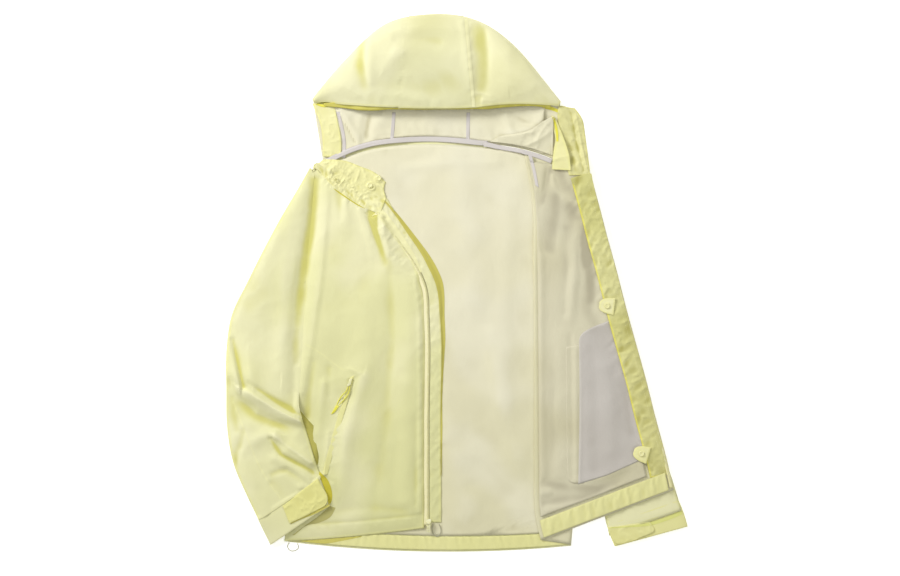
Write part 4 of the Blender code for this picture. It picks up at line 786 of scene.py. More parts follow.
# creases of the right front; what lies on it takes them too
frontCreases = raglanCreases + (
    (5.5, 6.5, ((-153, 124, -8), (-142, 88, -7), (-131, 54, -3.6), (-126, 36, -1))),
    (7, 4, ((-141, 122, 4.2), (-130, 88, 3.6), (-118, 56, 1.4))),
    (12, 5.5, ((-170, 128, 2.2), (-146, 50, 0.6))),
    (6, 6, ((-205, 156, -2), (-203, 110, -0.6))),
    (8, 8, ((-194, 150, 1.6), (-192, 108, 0.6))),
    (9.7, 10.3, ((-118, 34, -1.4), (-113, -100, -1.8), (-119.5, -167.9, -1.4), (-122, -236, -1),
        (-146, -404, -0.8))),
    (24, 26, ((-168, -60, 1.8), (-160, -109.7, 2), (-160, -160, 2.2))),
    (15.5, 9, ((-164, -164, 2.8), (-194, -262, 3), (-202, -372, 1.4))),
    (5, 4, ((-224, -262, 1.6), (-232, -336, 2.4))),
    (8, 9, ((-252, -140, -1.6), (-262, -232, -2.6))),
    (9, 7, ((-234, -176, 2.2), (-242, -262, 1.6))),
    (6, 6, ((-224, -150, -1.2), (-222, -196, -1))),
    (3, 4, ((-188, -150, 1.8), (-170, -158, 1.2))),
    (4, 4, ((-186, -172, -2.2), (-166, -160, -0.6))),
    (15, 13, ((-84, 10, 1.4), (-80, -170, 1.2))),
    (8, 4, ((-74, 8, 1.2), (-66, -60, 1.8), (-65, -240, 1.8), (-65, -400, 1.4))),
    (4.5, 7, ((-70, -236, -1.1), (-71, -386, -1.4))),
    (16, 12, ((-92, -180, 1), (-89, -280, 1.2), (-92, -380, 1.4))),
    (26, 22, ((-152, 18, -1), (-176, -60, -0.8))),
    (4, 4, ((-236, -334, 1.8), (-214, -342, 1))),
    (5, 7, ((-216, -352, 1.8), (-206, -392, 0.8))),
    (9, 8, ((-210, -398, -0.8), (-150, -393, -1), (-90, -398, -1.2))),
    (3.4, 2.4, ((-288, -424, -0.9), (-170, -417, -1.3), (-58, -405, -1.2))),
)
frontCalm = ((-198, -197, 13), (-49, -419, 20), (-41, -424, 16))
rightFront = {
    "node": "right_front", "levels": 3, "wall": 0.8, "look": "shell", "slot": "shell", "creases": frontCreases,
    "puckers": (("frontZip", 7, 27, 7, 0.28, 0.5), ("pocket", 0, 17, 9, 0.3, 0.4), ("frontHem", 18, 21, 6, 0.25, 0.3),
                ("collarJoin", -3, 17, 9, 0.4, 0.6)),
    "swell": 0.9, "crumple": (46, 0.5), "calm": frontCalm, "loft": (1.8, 9), "rimHold": 2.5, "rimDrop": 0.9,
    "crinkled": ((-118, 92, 24, 12, 1.5), (-92, 52, 24, 12, 1.2), (-72, 12, 20, 13, 0.8)),
    "sewn": (("rightSide", 5), ("collarJoin", 3)), "pulls": ((-248, 200, 8, -5, 5),),
    "drawn": (("frontZip", 14, 0, -8.5, 452, 700),), "rests": ["back_lining"], "cut": (0.25, 0.66)}
rightSleeveTop = {
    "node": "right_sleeve_top", "levels": 3, "wall": 0.8, "look": "sleeve", "slot": "shell",
    "creases": raglanCreases + (
        (28, 15, ((-276, 150, 2), (-300, 0, 3.4), (-306, -150, 3))),
        (12, 6, ((-276, -150, 2), (-277, -226, 3))),
        (20, 30, ((-330, 40, -0.4), (-366, -80, -0.6))),
        # the groove at the elbow, and the folds that run from it
        (4.5, 6, ((-392, -100, -3.4), (-372, -184, -6))),
        (5.5, 12, ((-398, -96, 2.4), (-379, -182, 4.6))),
        (14, 6, ((-364, -120, 1.4), (-358, -176, 2.6))),
        (3.4, 17, ((-371, -187, 6), (-320.5, -217.7, 6.2), (-268, -245, 6.4))),
        (6, 3.6, ((-362, -177, -3), (-314, -208.2, -3.5), (-264, -236, -4))),
        (8.5, 11, ((-398, -172, -3), (-379, -205, -3.2), (-352, -232, -3.3), (-310, -246.9, -3.2),
            (-266, -254, -3.2))),
        (12, 9, ((-330, -262, -0.6), (-300, -281, -1.4))),
        (10, 14, ((-352, -276, 3), (-336.1, -267.2, 3.5), (-318, -266, 4))),
        (7, 4.2, ((-318, -268, 3.8), (-288, -291, 3.7), (-256, -314, 4))),
        (3.8, 5.5, ((-324, -272, -4.6), (-307, -299, -3.8), (-281, -313.9, -3.6), (-254, -327, -3.4))),
        (8, 9, ((-318, -306, 2.4), (-262, -338, 2.8))),
        (5.5, 6.5, ((-322, -334, -1.4), (-309.8, -327.6, -1.9), (-296, -327, -2.4), (-277.8, -337.9, -2),
            (-262, -352, -1.6))),
        (3.6, 4.6, ((-282, -368, -2.8), (-262, -357, -1.4))),
        (6, 6, ((-276, -352, 1.8), (-246, -346, 2))),
        (9, 7, ((-390, -318, -2.8), (-372, -262, -2.2))),
        (9, 11, ((-376, -300, 1.8), (-362.2, -324.1, 1.4), (-352, -350, 1))),
        (10, 12, ((-356, -372, 1.2), (-328, -410, 0.6))),
        (10, 8, ((-322, -352, -1.4), (-300, -376, -0.8))),
        (7, 9, ((-395, -202, -1.6), (-385, -256, -1.8))),
    ),
    "puckers": (("forearm", 0, 19, 5, 0.2, 0.4),), "swell": 0.9, "crumple": (42, 0.6), "loft": (2.2, 9),
    "rimHold": 2, "rimDrop": 0.5, "sewn": (("rightSide", 9.5), ("cuffTop", 6)),
    "drawn": (("cuffTop", 34, 0, -6, -10, 142),),
    "rests": ["right_front"], "cut": (0.17, 0.62)}
rightSleeveUnder = {
    "node": "right_sleeve_under", "levels": 2, "wall": 0.8, "look": "sleeve", "slot": "shell", "rimDrop": 0.4,
    # where it shows beside the sleeve, the under-sleeve takes painted shade
    "patch": ("tuckShade", -290, -230, -345, -120),
    "rests": ["back"], "cut": (0.17, 0.62)}
windFlap = {
    "node": "wind_flap", "levels": 3, "wall": 0.9, "look": "shell", "slot": "shell",
    "puckers": (("frontZip", -13, 31, 5, 0.45, 0.8), ("frontZip", -26, 23, 5, 0.25, 0.8)), "crumple": (20, 0.8),
    "crinkled": ((-120, 124, 26, 8, 1.6), (-88, 80, 30, 8, 1.3)),
    "pulls": ((-122, 136, 18, -2, 10), (-140, 130, 14, 0, 5)), "sewn": (("frontZip", 14),),
    "swell": 0.3, "rimDrop": 0.5, "rests": ["back_lining"], "cut": (0.023, 0.60)}
rightCollar = {
    "node": "right_collar", "levels": 3, "wall": 0.8, "look": "collar", "slot": "shell",
    "creases": (
        (5, 4, ((-236, 207, 2), (-222.5, 194.8, 1.5), (-212, 180, 1))),
        (4, 4, ((-222, 196, 1.8), (-204, 170, 1))),
        (5, 3.5, ((-208, 207, 2), (-198.5, 193.2, 1.6), (-186, 182, 1.2))),
        (4, 3.5, ((-197, 178, 2), (-182.6, 166.4, 1.7), (-171, 152, 1.4))),
        (4, 4, ((-186, 196, 1.6), (-160, 166, 1.4))),
        (3.5, 4, ((-176, 158, 1.4), (-146, 136, 1.4))),
    ),
    "crumple": (15, 1.5), "crinkled": ((-222, 186, 22, 7, 2.2), (-192, 164, 20, 7, 2.1), (-162, 146, 22, 7, 2.3),
        (-140, 140, 22, 8, 1.5)),
    "puckers": (("collarJoin", 7, 10, 5, 0.5, 0.5), ("collarJoin", 17, 14, 7, 0.4, 0.3)),
    "pulls": ((-136, 146, 15, 14, -1), (-146, 126, 15, 13, -8), (-242, 203, 12, -8, -1)),
    "sewn": (("collarJoin", 3),), "rings": ((-137, 182.5, 5.6, 1.9), (-151, 168.5, 5.8, 2.0)),
    "calm": ((-137, 183, 6), (-152, 171, 6), (-211, 180, 6)), "rimDrop": 0.5, "rests": ["right_front"],
    "cut": (0.125, 0.075)}
rightPocketWelt = {
    "node": "right_pocket_welt", "levels": 3, "wall": 1.0, "look": "facing", "slot": "facing",
    "creases": frontCreases, "calm": frontCalm, "rimDrop": 0.3, "rests": ["right_front"],
    "cut": (0.012, 0.18)}
backLining = {
    "node": "back_lining", "levels": 3, "wall": 0.6, "look": "lining", "slot": "lining",
    "creases": (
        (26, 30, ((10, 190, 2.6), (26, 75.5, 2.8), (30, -40, 3))),
        (16, 20, ((92, 130, 2.6), (84, -34.9, 2.5), (86, -200, 2.4))),
        (24, 20, ((-60, 120, 1.6), (-20, 40, 1.4))),
        (30, 26, ((-40, -180, 2.4), (-2.3, -287.9, 2.5), (20, -400, 2.6))),
        (18, 14, ((60, -90, 2.2), (80.1, -211, 2), (110, -330, 1.8))),
        (8, 9, ((-90, 200, 1.8), (-10.4, 212, 2), (70, 212, 2.2))),
        (6, 7, ((-30, 224, 1.5), (14.9, 228, 1.5), (60, 226, 1.5))),
        (16, 18, ((-56, -300, 1.6), (8, -250, 1))),
    ),
    "puckers": (("neck", -8, 22, 16, 0.6, 0.4), ("backHem", 44, 24, 14, 0.7, 0.3)),
    "under": ("wind_flap", "right_front", "left_front", "neck_tape", "back_hem_facing", "right_zip"),
    "swell": 1.4, "crumple": (60, 0.7), "rimHold": 5, "rimDrop": 0.3, "rests": ["back"], "cut": (0.50, 0.69)}
backHemFacing = {
    "node": "back_hem_facing", "levels": 4, "wall": 0.8, "look": "facing", "slot": "facing",
    "puckers": (("backHem", 24, 17, 9, 0.6, 0.25), ("backHem", 6, 13, 5, 0.4, 0.4)),
    "rimDrop": 0.3, "rests": ["back"], "cut": (0.49, 0.028)}
hoodCreases = (
    (9, 10, ((-166, 420, -1.8), (-168, 378, -3), (-161, 346, -1.4))),
    (8, 8, ((-152, 410, 1), (-150, 350, 1.2))),
    (11, 18, ((42, 440, -3.2), (48, 380, -3.6), (44, 332, -2))),
    (12, 20, ((82, 430, 1.2), (88, 393.2, 1.4), (90, 346, 1.4))),
    (9, 7, ((10, 452, 1.8), (24, 340, 1.8))),
    (20, 20, ((-104, 338, -0.7), (-56, 343, -1.1), (-12, 349, -0.8))),
    (10, 14, ((-126, 372, 1.4), (-104, 402, 1.8))),
    (14, 18, ((-104, 400, 1.2), (-47.7, 403, 1), (8, 394, 0.9))),
    (8, 14, ((-110, 436, 1.8), (-60.2, 443, 1.6), (-10, 440, 1.4))),
    (9, 9, ((-104, 424, -1.2), (-66.8, 424, -1), (-30, 418, -0.8))),
    (14, 16, ((88, 392, 1.6), (108.5, 366.6, 1.8), (132, 344, 2))),
    (8, 10, ((96, 356, -0.5), (150, 322, -0.7))),
    (6, 7, ((150, 346, 2), (170, 320, 1))),
    (10, 12, ((-214, 352, 1.4), (-193.3, 341.5, 1.6), (-176, 326, 1.8))),
    (9, 8, ((-130, 328, 1.2), (-94.6, 326, 1.2), (-60, 318, 1.2))),
    (4.5, 4.5, ((34, 330, 1.4), (46.5, 328.9, 1.3), (58, 324, 1.2))),
    (4, 4.5, ((46, 318, 1.2), (64, 316, 0.8))),
)
hoodPuckers = (("brim", 7, 26, 7, 0.3, 0.4), ("hoodSeamLeft", 0, 21, 6, 0.35, 0.5),
               ("hoodSeamRight", 0, 23, 6, 0.2, 0.5))
hoodPanels = {
    "hoodRight": {"node": "hood_right_panel", "cut": (0.20, 0.50), "pulls": ((-230, 311, 22, 0, 4.5),)},
    "hoodCentre": {"node": "hood_centre_panel", "cut": (0.16, 0.52)},
    # painted light: the panel on the side away from the key lamp takes a paler look
    "hoodLeft": {"node": "hood_left_panel", "cut": (0.20, 0.50), "look": "hoodSidePaintedLight"},
}
hoodCommon = {"side": "low", "levels": 4, "wall": 0.8, "look": "hood", "inside": "lining", "slot": "shell",
              "creases": hoodCreases, "puckers": hoodPuckers, "swell": 0.9, "crumple": (40, 0.4), "loft": (1.2, 9),
              "above": 18, "rimHold": 1, "held": "folded", "rests": [],
              "sewn": (("hoodSeamLeft", 2), ("hoodSeamRight", 2))}
hoodLining = {
    "node": "hood_lining", "levels": 3, "wall": 0.6, "look": "lining", "slot": "lining",
    "creases": (
        (5, 8, ((-204, 303, 3.4), (-186.3, 277.5, 3), (-172, 250, 2.6))),
        (3, 3.5, ((-209, 301, -3), (-192, 273, -4.4), (-178, 247, -3.6))),
        (4, 6, ((-152, 292, -2), (-157, 268, -2.6), (-160, 250, -1.6))),
        (4, 7, ((100, 292, -1.6), (126, 280, -2.2), (150, 272, -1.4))),
        (8, 8, ((-166, 300, 1.6), (-172, 262, 1))),
        (12, 7, ((-126, 300, 2.2), (-137.8, 279.9, 1.7), (-146, 258, 1.2))),
        (14, 12, ((-60, 296, 1.2), (-40, 258, 0.8))),
        (9, 9, ((36, 286, 1.4), (51.5, 270.3, 1.4), (64, 252, 1.4))),
        (9, 6, ((78, 262, 2.6), (98.1, 261, 2.7), (118, 264, 2.8), (136.2, 274.4, 2.9), (152, 288, 3))),
        (6, 8, ((84, 300, 1.4), (96, 262, 1.6))),
        (5, 6, ((-156, 246, 1.8), (-138.8, 255.8, 1.4), (-120, 262, 1))),
    ),
    "puckers": (("neck", 8, 18, 12, 0.6, 0.4),), "swell": 1.0, "crumple": (30, 0.8),
    "rests": ["hood_centre_panel"], "cut": (0.38, 0.215), "rimHold": 3}
hoodBrimFacing = {
    "node": "hood_brim_facing", "levels": 3, "wall": 0.6, "look": "shaded", "slot": "facing", "held": "folded",
    "pulls": ((-224, 314, 14, -8, 0),), "hangFrom": 322,
    "hang": ((-226, 3), (-204, 6), (-187, 8), (-173, 9), (-160, 8), (-140, 7), (-120, 4), (-102, 3), (-67, 2),
             (-35, 1.5), (-2, 2), (29, 3), (54, 6), (75, 7), (94, 7), (112, 6), (131, 5), (148, 5), (164, 6)),
    "puckers": (("brim", 0, 31, 14, 0.8, 0.3),),
    "rests": ["hood_centre_panel"], "cut": (0.40, 0.02)}
trims = {
    # tapes and facings of the hood and neck: node, look, slot, levels, cut
    "hoodTapeRight": ("hood_tape_right", "tape", "seam_tape", 3, (0.006, 0.053)),
    "hoodTapeLeft": ("hood_tape_left", "tape", "seam_tape", 3, (0.006, 0.053)),
    "hoodFaceFacing": ("hood_face_facing", "collar", "facing", 4, (0.038, 0.092)),
    "hoodFaceTape": ("hood_face_tape", "tape", "seam_tape", 3, (0.006, 0.082)),
    "neckTape": ("neck_tape", "tape", "seam_tape", 3, (0.009, 0.30)),
    "leftNeckTape": ("left_neck_tape", "tape", "seam_tape", 3, (0.008, 0.13)),
    "raglanTape": ("raglan_tape", "tape", "seam_tape", 3, (0.007, 0.061)),
}
leftCreases = (
    (5, 8, ((163, 196, -3), (151, 142, -2))),
    (8, 11.7, ((150, 196, 2), (146, 100, 2.4), (146, -200, 2), (150, -340, 1.4))),
    (4.5, 4.5, ((166, 186, 1.8), (172.3, 167.6, 1.6), (184, 152, 1.4), (198.3, 144.1, 1.3), (214, 140, 1.2))),
    (12, 12, ((172, 150, -3), (166, 60, -2.2))),
    (8.5, 8.5, ((209, 104, 2.2), (209.5, 61.9, 2.3), (206, 20, 2.4), (198, -64, 1.4))),
    (7, 8, ((190, 96, -1.4), (188, -50, -1.6))),
    (10, 9, ((224, 92, -3), (236, -30, -3.4))),
    (9, 12, ((180, 196, -2.6), (190, 168, -2.2), (214, 150, -1.8))),
    (14, 13, ((218, -12, -1.2), (231, -48, -2.4), (243, -80, -1.6))),
    (10, 12, ((146, 150, -3), (150, 60, -2.4))),
    (12, 14, ((200, 130, -2.6), (222, 40, -2.4))),
    (14, 14, ((182, -90, 1.2), (185, -213, 1.2), (182, -336, 1.2))),
    (8, 10, ((168, -120, -0.8), (166, -330, -1))),
    (4.5, 5, ((208, -112, 1.8), (209, -345, 2.2))),
    (3.6, 3.6, ((199, -90, -1.2), (201, -345, -1))),
    (4, 4.5, ((219, -200, -1.4), (220, -345, -1.2))),
    (12, 16, ((262, -150, 1.6), (268, -219.9, 1.7), (270, -290, 1.8))),
    (9, 9, ((240, -120, -0.8), (245, -224.9, -0.9), (246, -330, -1))),
    (8, 10, ((290, -180, -1.2), (304, -262, -1.6))),
    (8, 8.5, ((156, -350, -2), (200.6, -358, -2.3), (246, -358, -2.6), (274.4, -346.7, -2.1),
        (300, -330, -1.6))),
    (7, 7, ((142, -366, 3), (160, -366, 1.8))),
    (7, 9, ((150, -384, -2.2), (196.7, -376, -1.8), (244, -374, -1.4))),
    (9, 12, ((200, -352, 1.2), (251.6, -339.7, 1.3), (300, -318, 1.4))),
    (6, 6, ((160, -398, 1.2), (210, -392, 1))),
)
snapTabCalm = ((262, -40, 26), (322, -298, 26))      # no creases under the two snap tabs
leftFront = {
    "node": "left_front", "side": "high", "levels": 2, "wall": 0.8, "look": "folded", "slot": "shell",
    "held": "folded", "rests": ["back_lining"], "cut": (0.26, 0.68), "rimDrop": 0.3}
leftFrontLining = {
    "node": "left_front_lining", "levels": 3, "wall": 0.6, "look": "frontLining", "slot": "lining",
    "creases": leftCreases, "swell": 0.9, "crumple": (50, 0.6), "rimHold": 3, "rimDrop": 0.2,
    "rests": ["left_front"], "cut": (0.206, 0.64), "calm": snapTabCalm,
    "puckers": (("leftZip", 38, 24, 14, 0.5, 0.5),)}
leftPocketBag = {
    "node": "left_pocket_bag", "levels": 3, "wall": 0.5, "look": "bag", "slot": "pocket_bag", "creases": leftCreases,
    "swell": 0.9, "crumple": (50, 0.6), "rimDrop": 0.3, "slide": ((262, 228, -14),), "calm": snapTabCalm,
    "rests": ["left_front_lining"], "cut": (0.122, 0.29)}
leftPocketWelt = {
    "node": "left_pocket_welt", "levels": 3, "wall": 0.5, "look": "frontLining", "slot": "lining",
    "creases": leftCreases, "swell": 0.9, "crumple": (50, 0.6), "rimDrop": 0.5, "rests": ["left_front_lining"],
    "cut": (0.033, 0.25)}
leftFrontFacing = {
    "node": "left_front_facing", "levels": 3, "wall": 0.7, "look": "bound", "slot": "facing",
    "puckers": (("leftZip", 27, 31, 7, 0.9, 0.8), ("leftZip", 14, 23, 6, 0.6, 1.0)), "crumple": (18, 2.1),
    "pulls": ((204, 180, 20, -5, 14), (232, 184, 20, -1, 13)), "sewn": (("leftZip", 16), ("facingTop", 8)),
    "drawn": (("leftZip", 24, 8, -5.5, -40, 800),),
    "calm": ((270, -40, 14), (330, -298, 14)), "rimDrop": 0.3, "rests": ["left_front"], "cut": (0.037, 0.55)}
leftHemFacing = {
    "node": "left_hem_facing", "levels": 4, "wall": 0.7, "look": "facing", "slot": "facing",
    "puckers": (("leftHem", 14, 23, 12, 1.0, -0.2), ("leftHem", 26, 15, 6, 0.5, -0.4)), "crumple": (22, 0.4),
    "rimDrop": 0.3, "rests": ["left_front"], "cut": (0.25, 0.033)}
leftCollar = {
    "node": "left_collar", "levels": 4, "wall": 0.8, "look": "stand", "slot": "facing",
    "creases": (
        (4, 5, ((196, 200, 1.6), (210.4, 206.9, 1.4), (226, 210, 1.2))),
        (5, 6, ((190, 232, 1.4), (205.5, 226.1, 1.6), (222, 224, 1.8))),
        (5, 5, ((186, 258, 1.4), (220, 246, 1.2))),
        (8, 5, ((186, 292, 1.8), (200.7, 288.9, 1.6), (214, 282, 1.4))),
        (2.4, 3.2, ((200, 296, -2), (208, 250, -3), (221, 196, -2.6))),
        (5, 5, ((190, 262, -1), (200, 232, -2.6), (207, 196, -2.2))),
        (2.2, 2.2, ((209, 292, 1.2), (216, 254, 1.6), (228, 196, 1.4))),
    ),
    "crumple": (19, 1.4), "rimDrop": 0.4, "pulls": ((185, 302, 12, -5, 6),), "rests": ["left_front"],
    "cut": (0.05, 0.12)}
leftCollarLining = {
    "node": "left_collar_lining", "levels": 3, "wall": 0.6, "look": "lining", "slot": "lining",
    "creases": (
        (4, 5, ((84, 262, 1.6), (108, 265, 1.8), (132, 262, 2))),
        (5, 5, ((120, 240, 1.6), (141.4, 248.4, 1.7), (160, 262, 1.8))),
        (4, 4, ((140, 250, 1.4), (150.4, 268.2, 1.3), (164, 284, 1.2))),
    ),
    "swell": 0.6, "crumple": (20, 0.7), "rimHold": 2, "rests": ["hood_lining"], "cut": (0.12, 0.05)}
chinTab = {
    "node": "chin_tab", "levels": 4, "wall": 0.7, "look": "collar", "slot": "shell",
    "creases": ((4, 5, ((178, 250, 1.2), (194, 244, 1))), (4, 4, ((176, 216, 1), (196, 222, 0.8)))),
    "crumple": (18, 0.8), "slide": ((196, 178, -8),), "raise": 0.3,
    "rests": ["left_collar"], "cut": (0.025, 0.092)}
leftSleeveTop = {
    "node": "left_sleeve_top", "levels": 3, "wall": 0.8, "look": "shell", "slot": "shell",
    "creases": ((8, 14, ((360, -330, 2), (372, -384, 1.4))), (10, 12, ((300, -392, 1.6), (366, -384, 1.2)))),
    "sewn": (("leftCuffTop", 6),), "drawn": (("leftCuffTop", 36, 0, -19, -60, 400),), "crumple": (34, 0.8),
    "swell": 0.5, "rimHold": 4, "rimDrop": 0.5, "rests": ["left_sleeve_under"], "cut": (0.13, 0.61)}
leftSleeveUnder = {
    "node": "left_sleeve_under", "levels": 2, "wall": 0.8, "look": "shell", "slot": "shell", "rimDrop": 0.3,
    "rests": [], "cut": (0.13, 0.61)}
tabs = {
    # tabs of doubled cloth: node, look, slot, levels, wall, cut
    "snapTabUpper": ("snap_tab_upper", "collar", "facing", 3, 1.2, (0.030, 0.030)),
    "snapTabLower": ("snap_tab_lower", "collar", "facing", 3, 1.2, (0.030, 0.032)),
    "leftCuffTab": ("left_cuff_tab", "cuff", "facing", 4, 1.3, (0.034, 0.085)),
    "rightCuffTab": ("right_cuff_tab", "cuff", "facing", 4, 1.3, (0.048, 0.085)),
}
restingOn = {"hoodTapeRight": "hood_lining", "hoodTapeLeft": "hood_lining", "hoodFaceFacing": "hood_lining",
             "hoodFaceTape": "hood_lining", "neckTape": "back_lining", "leftNeckTape": "left_collar_lining",
             "raglanTape": "left_front_lining", "snapTabUpper": "left_front_facing",
             "snapTabLower": "left_front_facing", "leftCuffTab": "left_cuff", "rightCuffTab": "right_cuff"}

for name, values in (
        ("backLining", backLining), ("backHemFacing", backHemFacing), ("rightSleeveUnder", rightSleeveUnder),
        ("rightSleeveTop", rightSleeveTop), ("windFlap", windFlap), ("rightFront", rightFront),
        ("rightCollar", rightCollar), ("rightPocketWelt", rightPocketWelt), ("hoodLining", hoodLining),
        ("hoodBrimFacing", hoodBrimFacing), ("leftFront", leftFront), ("leftFrontLining", leftFrontLining),
        ("leftPocketBag", leftPocketBag), ("leftPocketWelt", leftPocketWelt), ("leftFrontFacing", leftFrontFacing),
        ("leftHemFacing", leftHemFacing), ("leftCollar", leftCollar), ("leftCollarLining", leftCollarLining),
        ("chinTab", chinTab), ("leftSleeveUnder", leftSleeveUnder), ("leftSleeveTop", leftSleeveTop)):
    makeCloth(name, values)
for name, values in hoodPanels.items():
    makeCloth(name, {**hoodCommon, **values})
trimPulls = {
    # places where a trim is drawn out to meet its neighbour
    "hoodFaceFacing": ((-244, 302, 20, -6, 13), (-216, 300, 18, 0, 10)),
    "neckTape": ((50, 243, 14, 4, 0.9),),
    "leftNeckTape": ((60, 240, 14, -9, 4.8),),
    "rightCuffTab": ((-228, -372, 18, 6, 0),),
}
for name, (node, look, slot, levels, cut) in trims.items():
    creases = hoodLining["creases"] if name.startswith("hood") else backLining["creases"] if name == "neckTape" else ()
    makeCloth(name, {"node": node, "levels": levels, "wall": 0.3, "look": look, "slot": slot, "creases": creases,
                     "crumple": (22, 0.0 if look == "tape" else 1.4), "pulls": trimPulls.get(name, ()),
                     "rests": [restingOn[name]], "cut": cut})
for name, (node, look, slot, levels, wall, cut) in tabs.items():
    makeCloth(name, {"node": node, "levels": levels, "wall": wall, "look": look, "slot": slot, "rimDrop": 0.5,
                     "crumple": (18, 1.2 if name.endswith("CuffTab") else 0.3), "rimHold": 1.5,
                     "pulls": trimPulls.get(name, ()),
                     "rests": [restingOn[name]], "cut": cut})
print("cloth ready")

# edges that are sewn to each other, or that lie down on what is under them


def coordsOf(name):
    points = np.zeros(len(finished[name].data.vertices) * 3)
    finished[name].data.vertices.foreach_get("co", points)
    return points.reshape(-1, 3)


def setCoords(name, points):
    finished[name].data.vertices.foreach_set("co", points.ravel())
    finished[name].data.update()
    surfaces.pop(name, None)


def surfaceOf(name):
    if name not in surfaces:
        mesh = finished[name].data
        surfaces[name] = BVHTree.FromPolygons([vert.co.copy() for vert in mesh.vertices],
                                              [face.vertices[:] for face in mesh.polygons])
    return surfaces[name]


aboveAll = 0.2       # height in metres from which pieces are looked for


def drop(targets, x, y):
    # the highest point and normal of the pieces under x, y
    best = None
    for target in targets:
        place, normal, _, _ = surfaceOf(target).ray_cast(Vector((x * mm, y * mm, aboveAll)), Vector((0, 0, -1)))
        if place is not None and (best is None or place.z > best[0].z):
            best = (place, normal if normal.z > 0 else -normal)
    return best


# along a sewn edge, in millimetres: how far apart its points are, how far its sideways shift reaches into the
# cloth, and over what length a laid edge fades out at its ends
sewStep, sideReach, endFade = 3.0, 5, 12


def sew(first, second, seam, low, high, catch=4.0, reach=11.0, fade=(0, 0)):
    # both edges move onto the seam, and meet at one height
    # catch is how near the seam an edge is taken, in millimetres or as (y, how near) pairs
    # fade is how softly it starts and ends
    line = smoothLine(seams[seam], sewStep)
    line = line[(line[:, 1] >= low) & (line[:, 1] <= high)]
    taken = np.interp(line[:, 1], *zip(*catch)) if isinstance(catch, tuple) else np.full(len(line), catch)
    nearest, profiles = {}, []
    for name in (first, second):
        points = coordsOf(name)
        gap = np.hypot(points[:, :1] / mm - line[:, 0], points[:, 1:2] / mm - line[:, 1])
        index, away = gap.argmin(axis=1), gap.min(axis=1)
        onRim = rims[name][away[rims[name]] < taken[index[rims[name]]]]
        at = np.arange(len(line))
        order = np.argsort(index[onRim], kind="stable")
        spots = index[onRim][order]
        profiles.append([np.interp(at, spots, points[onRim][order, axis]) for axis in range(3)]
                        + [np.interp(at, spots, away[onRim][order])])
        nearest[name] = (points, index, away)
    height = (profiles[0][2] + profiles[1][2]) / 2
    whole = np.ones(len(line))
    for steps, order in zip(fade, (1, -1)):
        if steps:
            whole *= np.clip(np.arange(len(line)) * sewStep / steps, 0, 1)[::order]
    for name, profile in zip((first, second), profiles):
        points, index, away = nearest[name]
        behind = np.maximum(away - profile[3][index], 0)
        points[:, 2] += (height - profile[2])[index] * np.exp(-(behind / reach) ** 2) * whole[index]
        shift = np.exp(-(behind / sideReach) ** 2) * whole[index]
        points[:, 0] += (line[:, 0] * mm - profile[0])[index] * shift
        points[:, 1] += (line[:, 1] * mm - profile[1])[index] * shift
        setCoords(name, points)


def layDown(name, onto, low, high, reach=9.0, clearance=0.08):
    # the edge of a piece comes down to the pieces under it
    points = coordsOf(name)
    edge = edgeDistance(points, rims[name], ())
    for i, point in enumerate(points):
        if edge[i] < 3 * reach and low < point[1] / mm < high:
            found = drop(onto, point[0] / mm, point[1] / mm)
            if found:
                fade = min(1, (point[1] / mm - low) / endFade, (high - point[1] / mm) / endFade)
                share = math.exp(-(edge[i] / reach) ** 2) * fade
                point[2] += (found[0].z + clearance * mm - point[2]) * share
    setCoords(name, points)


def clearOf(name, onto, clearance=0.9):
    # the piece rises where it would run into what it covers
    points = coordsOf(name)
    for point in points:
        found = drop(onto, point[0] / mm, point[1] / mm)
        if found and found[0].z + clearance * mm > point[2]:
            point[2] = found[0].z + clearance * mm
    setCoords(name, points)


sew("rightFront", "rightSleeveTop", "rightSide", -232, 200, catch=((-130, 9.0), (-104, 4.0)), reach=24, fade=(40, 0))
sew("rightFront", "windFlap", "flapJoin", 4, 120, catch=5.0, reach=8, fade=(40, 15))
sew("rightFront", "rightCollar", "collarJoin", 120, 199, catch=3.5, reach=5)
sew("hoodCentre", "hoodLeft", "hoodSeamLeft", 305, 468, catch=2.2, reach=7)
sew("hoodCentre", "hoodRight", "hoodSeamRight", 305, 468, catch=2.2, reach=7)
clearOf("rightCollar", ("windFlap",))
# piece, what it lies down on, how far above it
for name, onto, clearance in (
        ("leftPocketWelt", ("leftFrontLining",), 0.15), ("leftPocketBag", ("leftFrontLining",), 0.4),
        ("hoodTapeRight", ("hoodLining",), 0.45), ("hoodTapeLeft", ("hoodLining",), 0.45),
        ("hoodFaceTape", ("hoodLining",), 0.6), ("neckTape", ("backLining", "hoodLining"), 0.5),
        ("leftNeckTape", ("leftCollarLining", "leftFrontLining", "hoodLining", "backLining"), 0.5),
        ("raglanTape", ("leftFrontLining",), 0.45)):
    layDown(name, onto, -420, 400, reach=90, clearance=clearance)
print("seams closed")
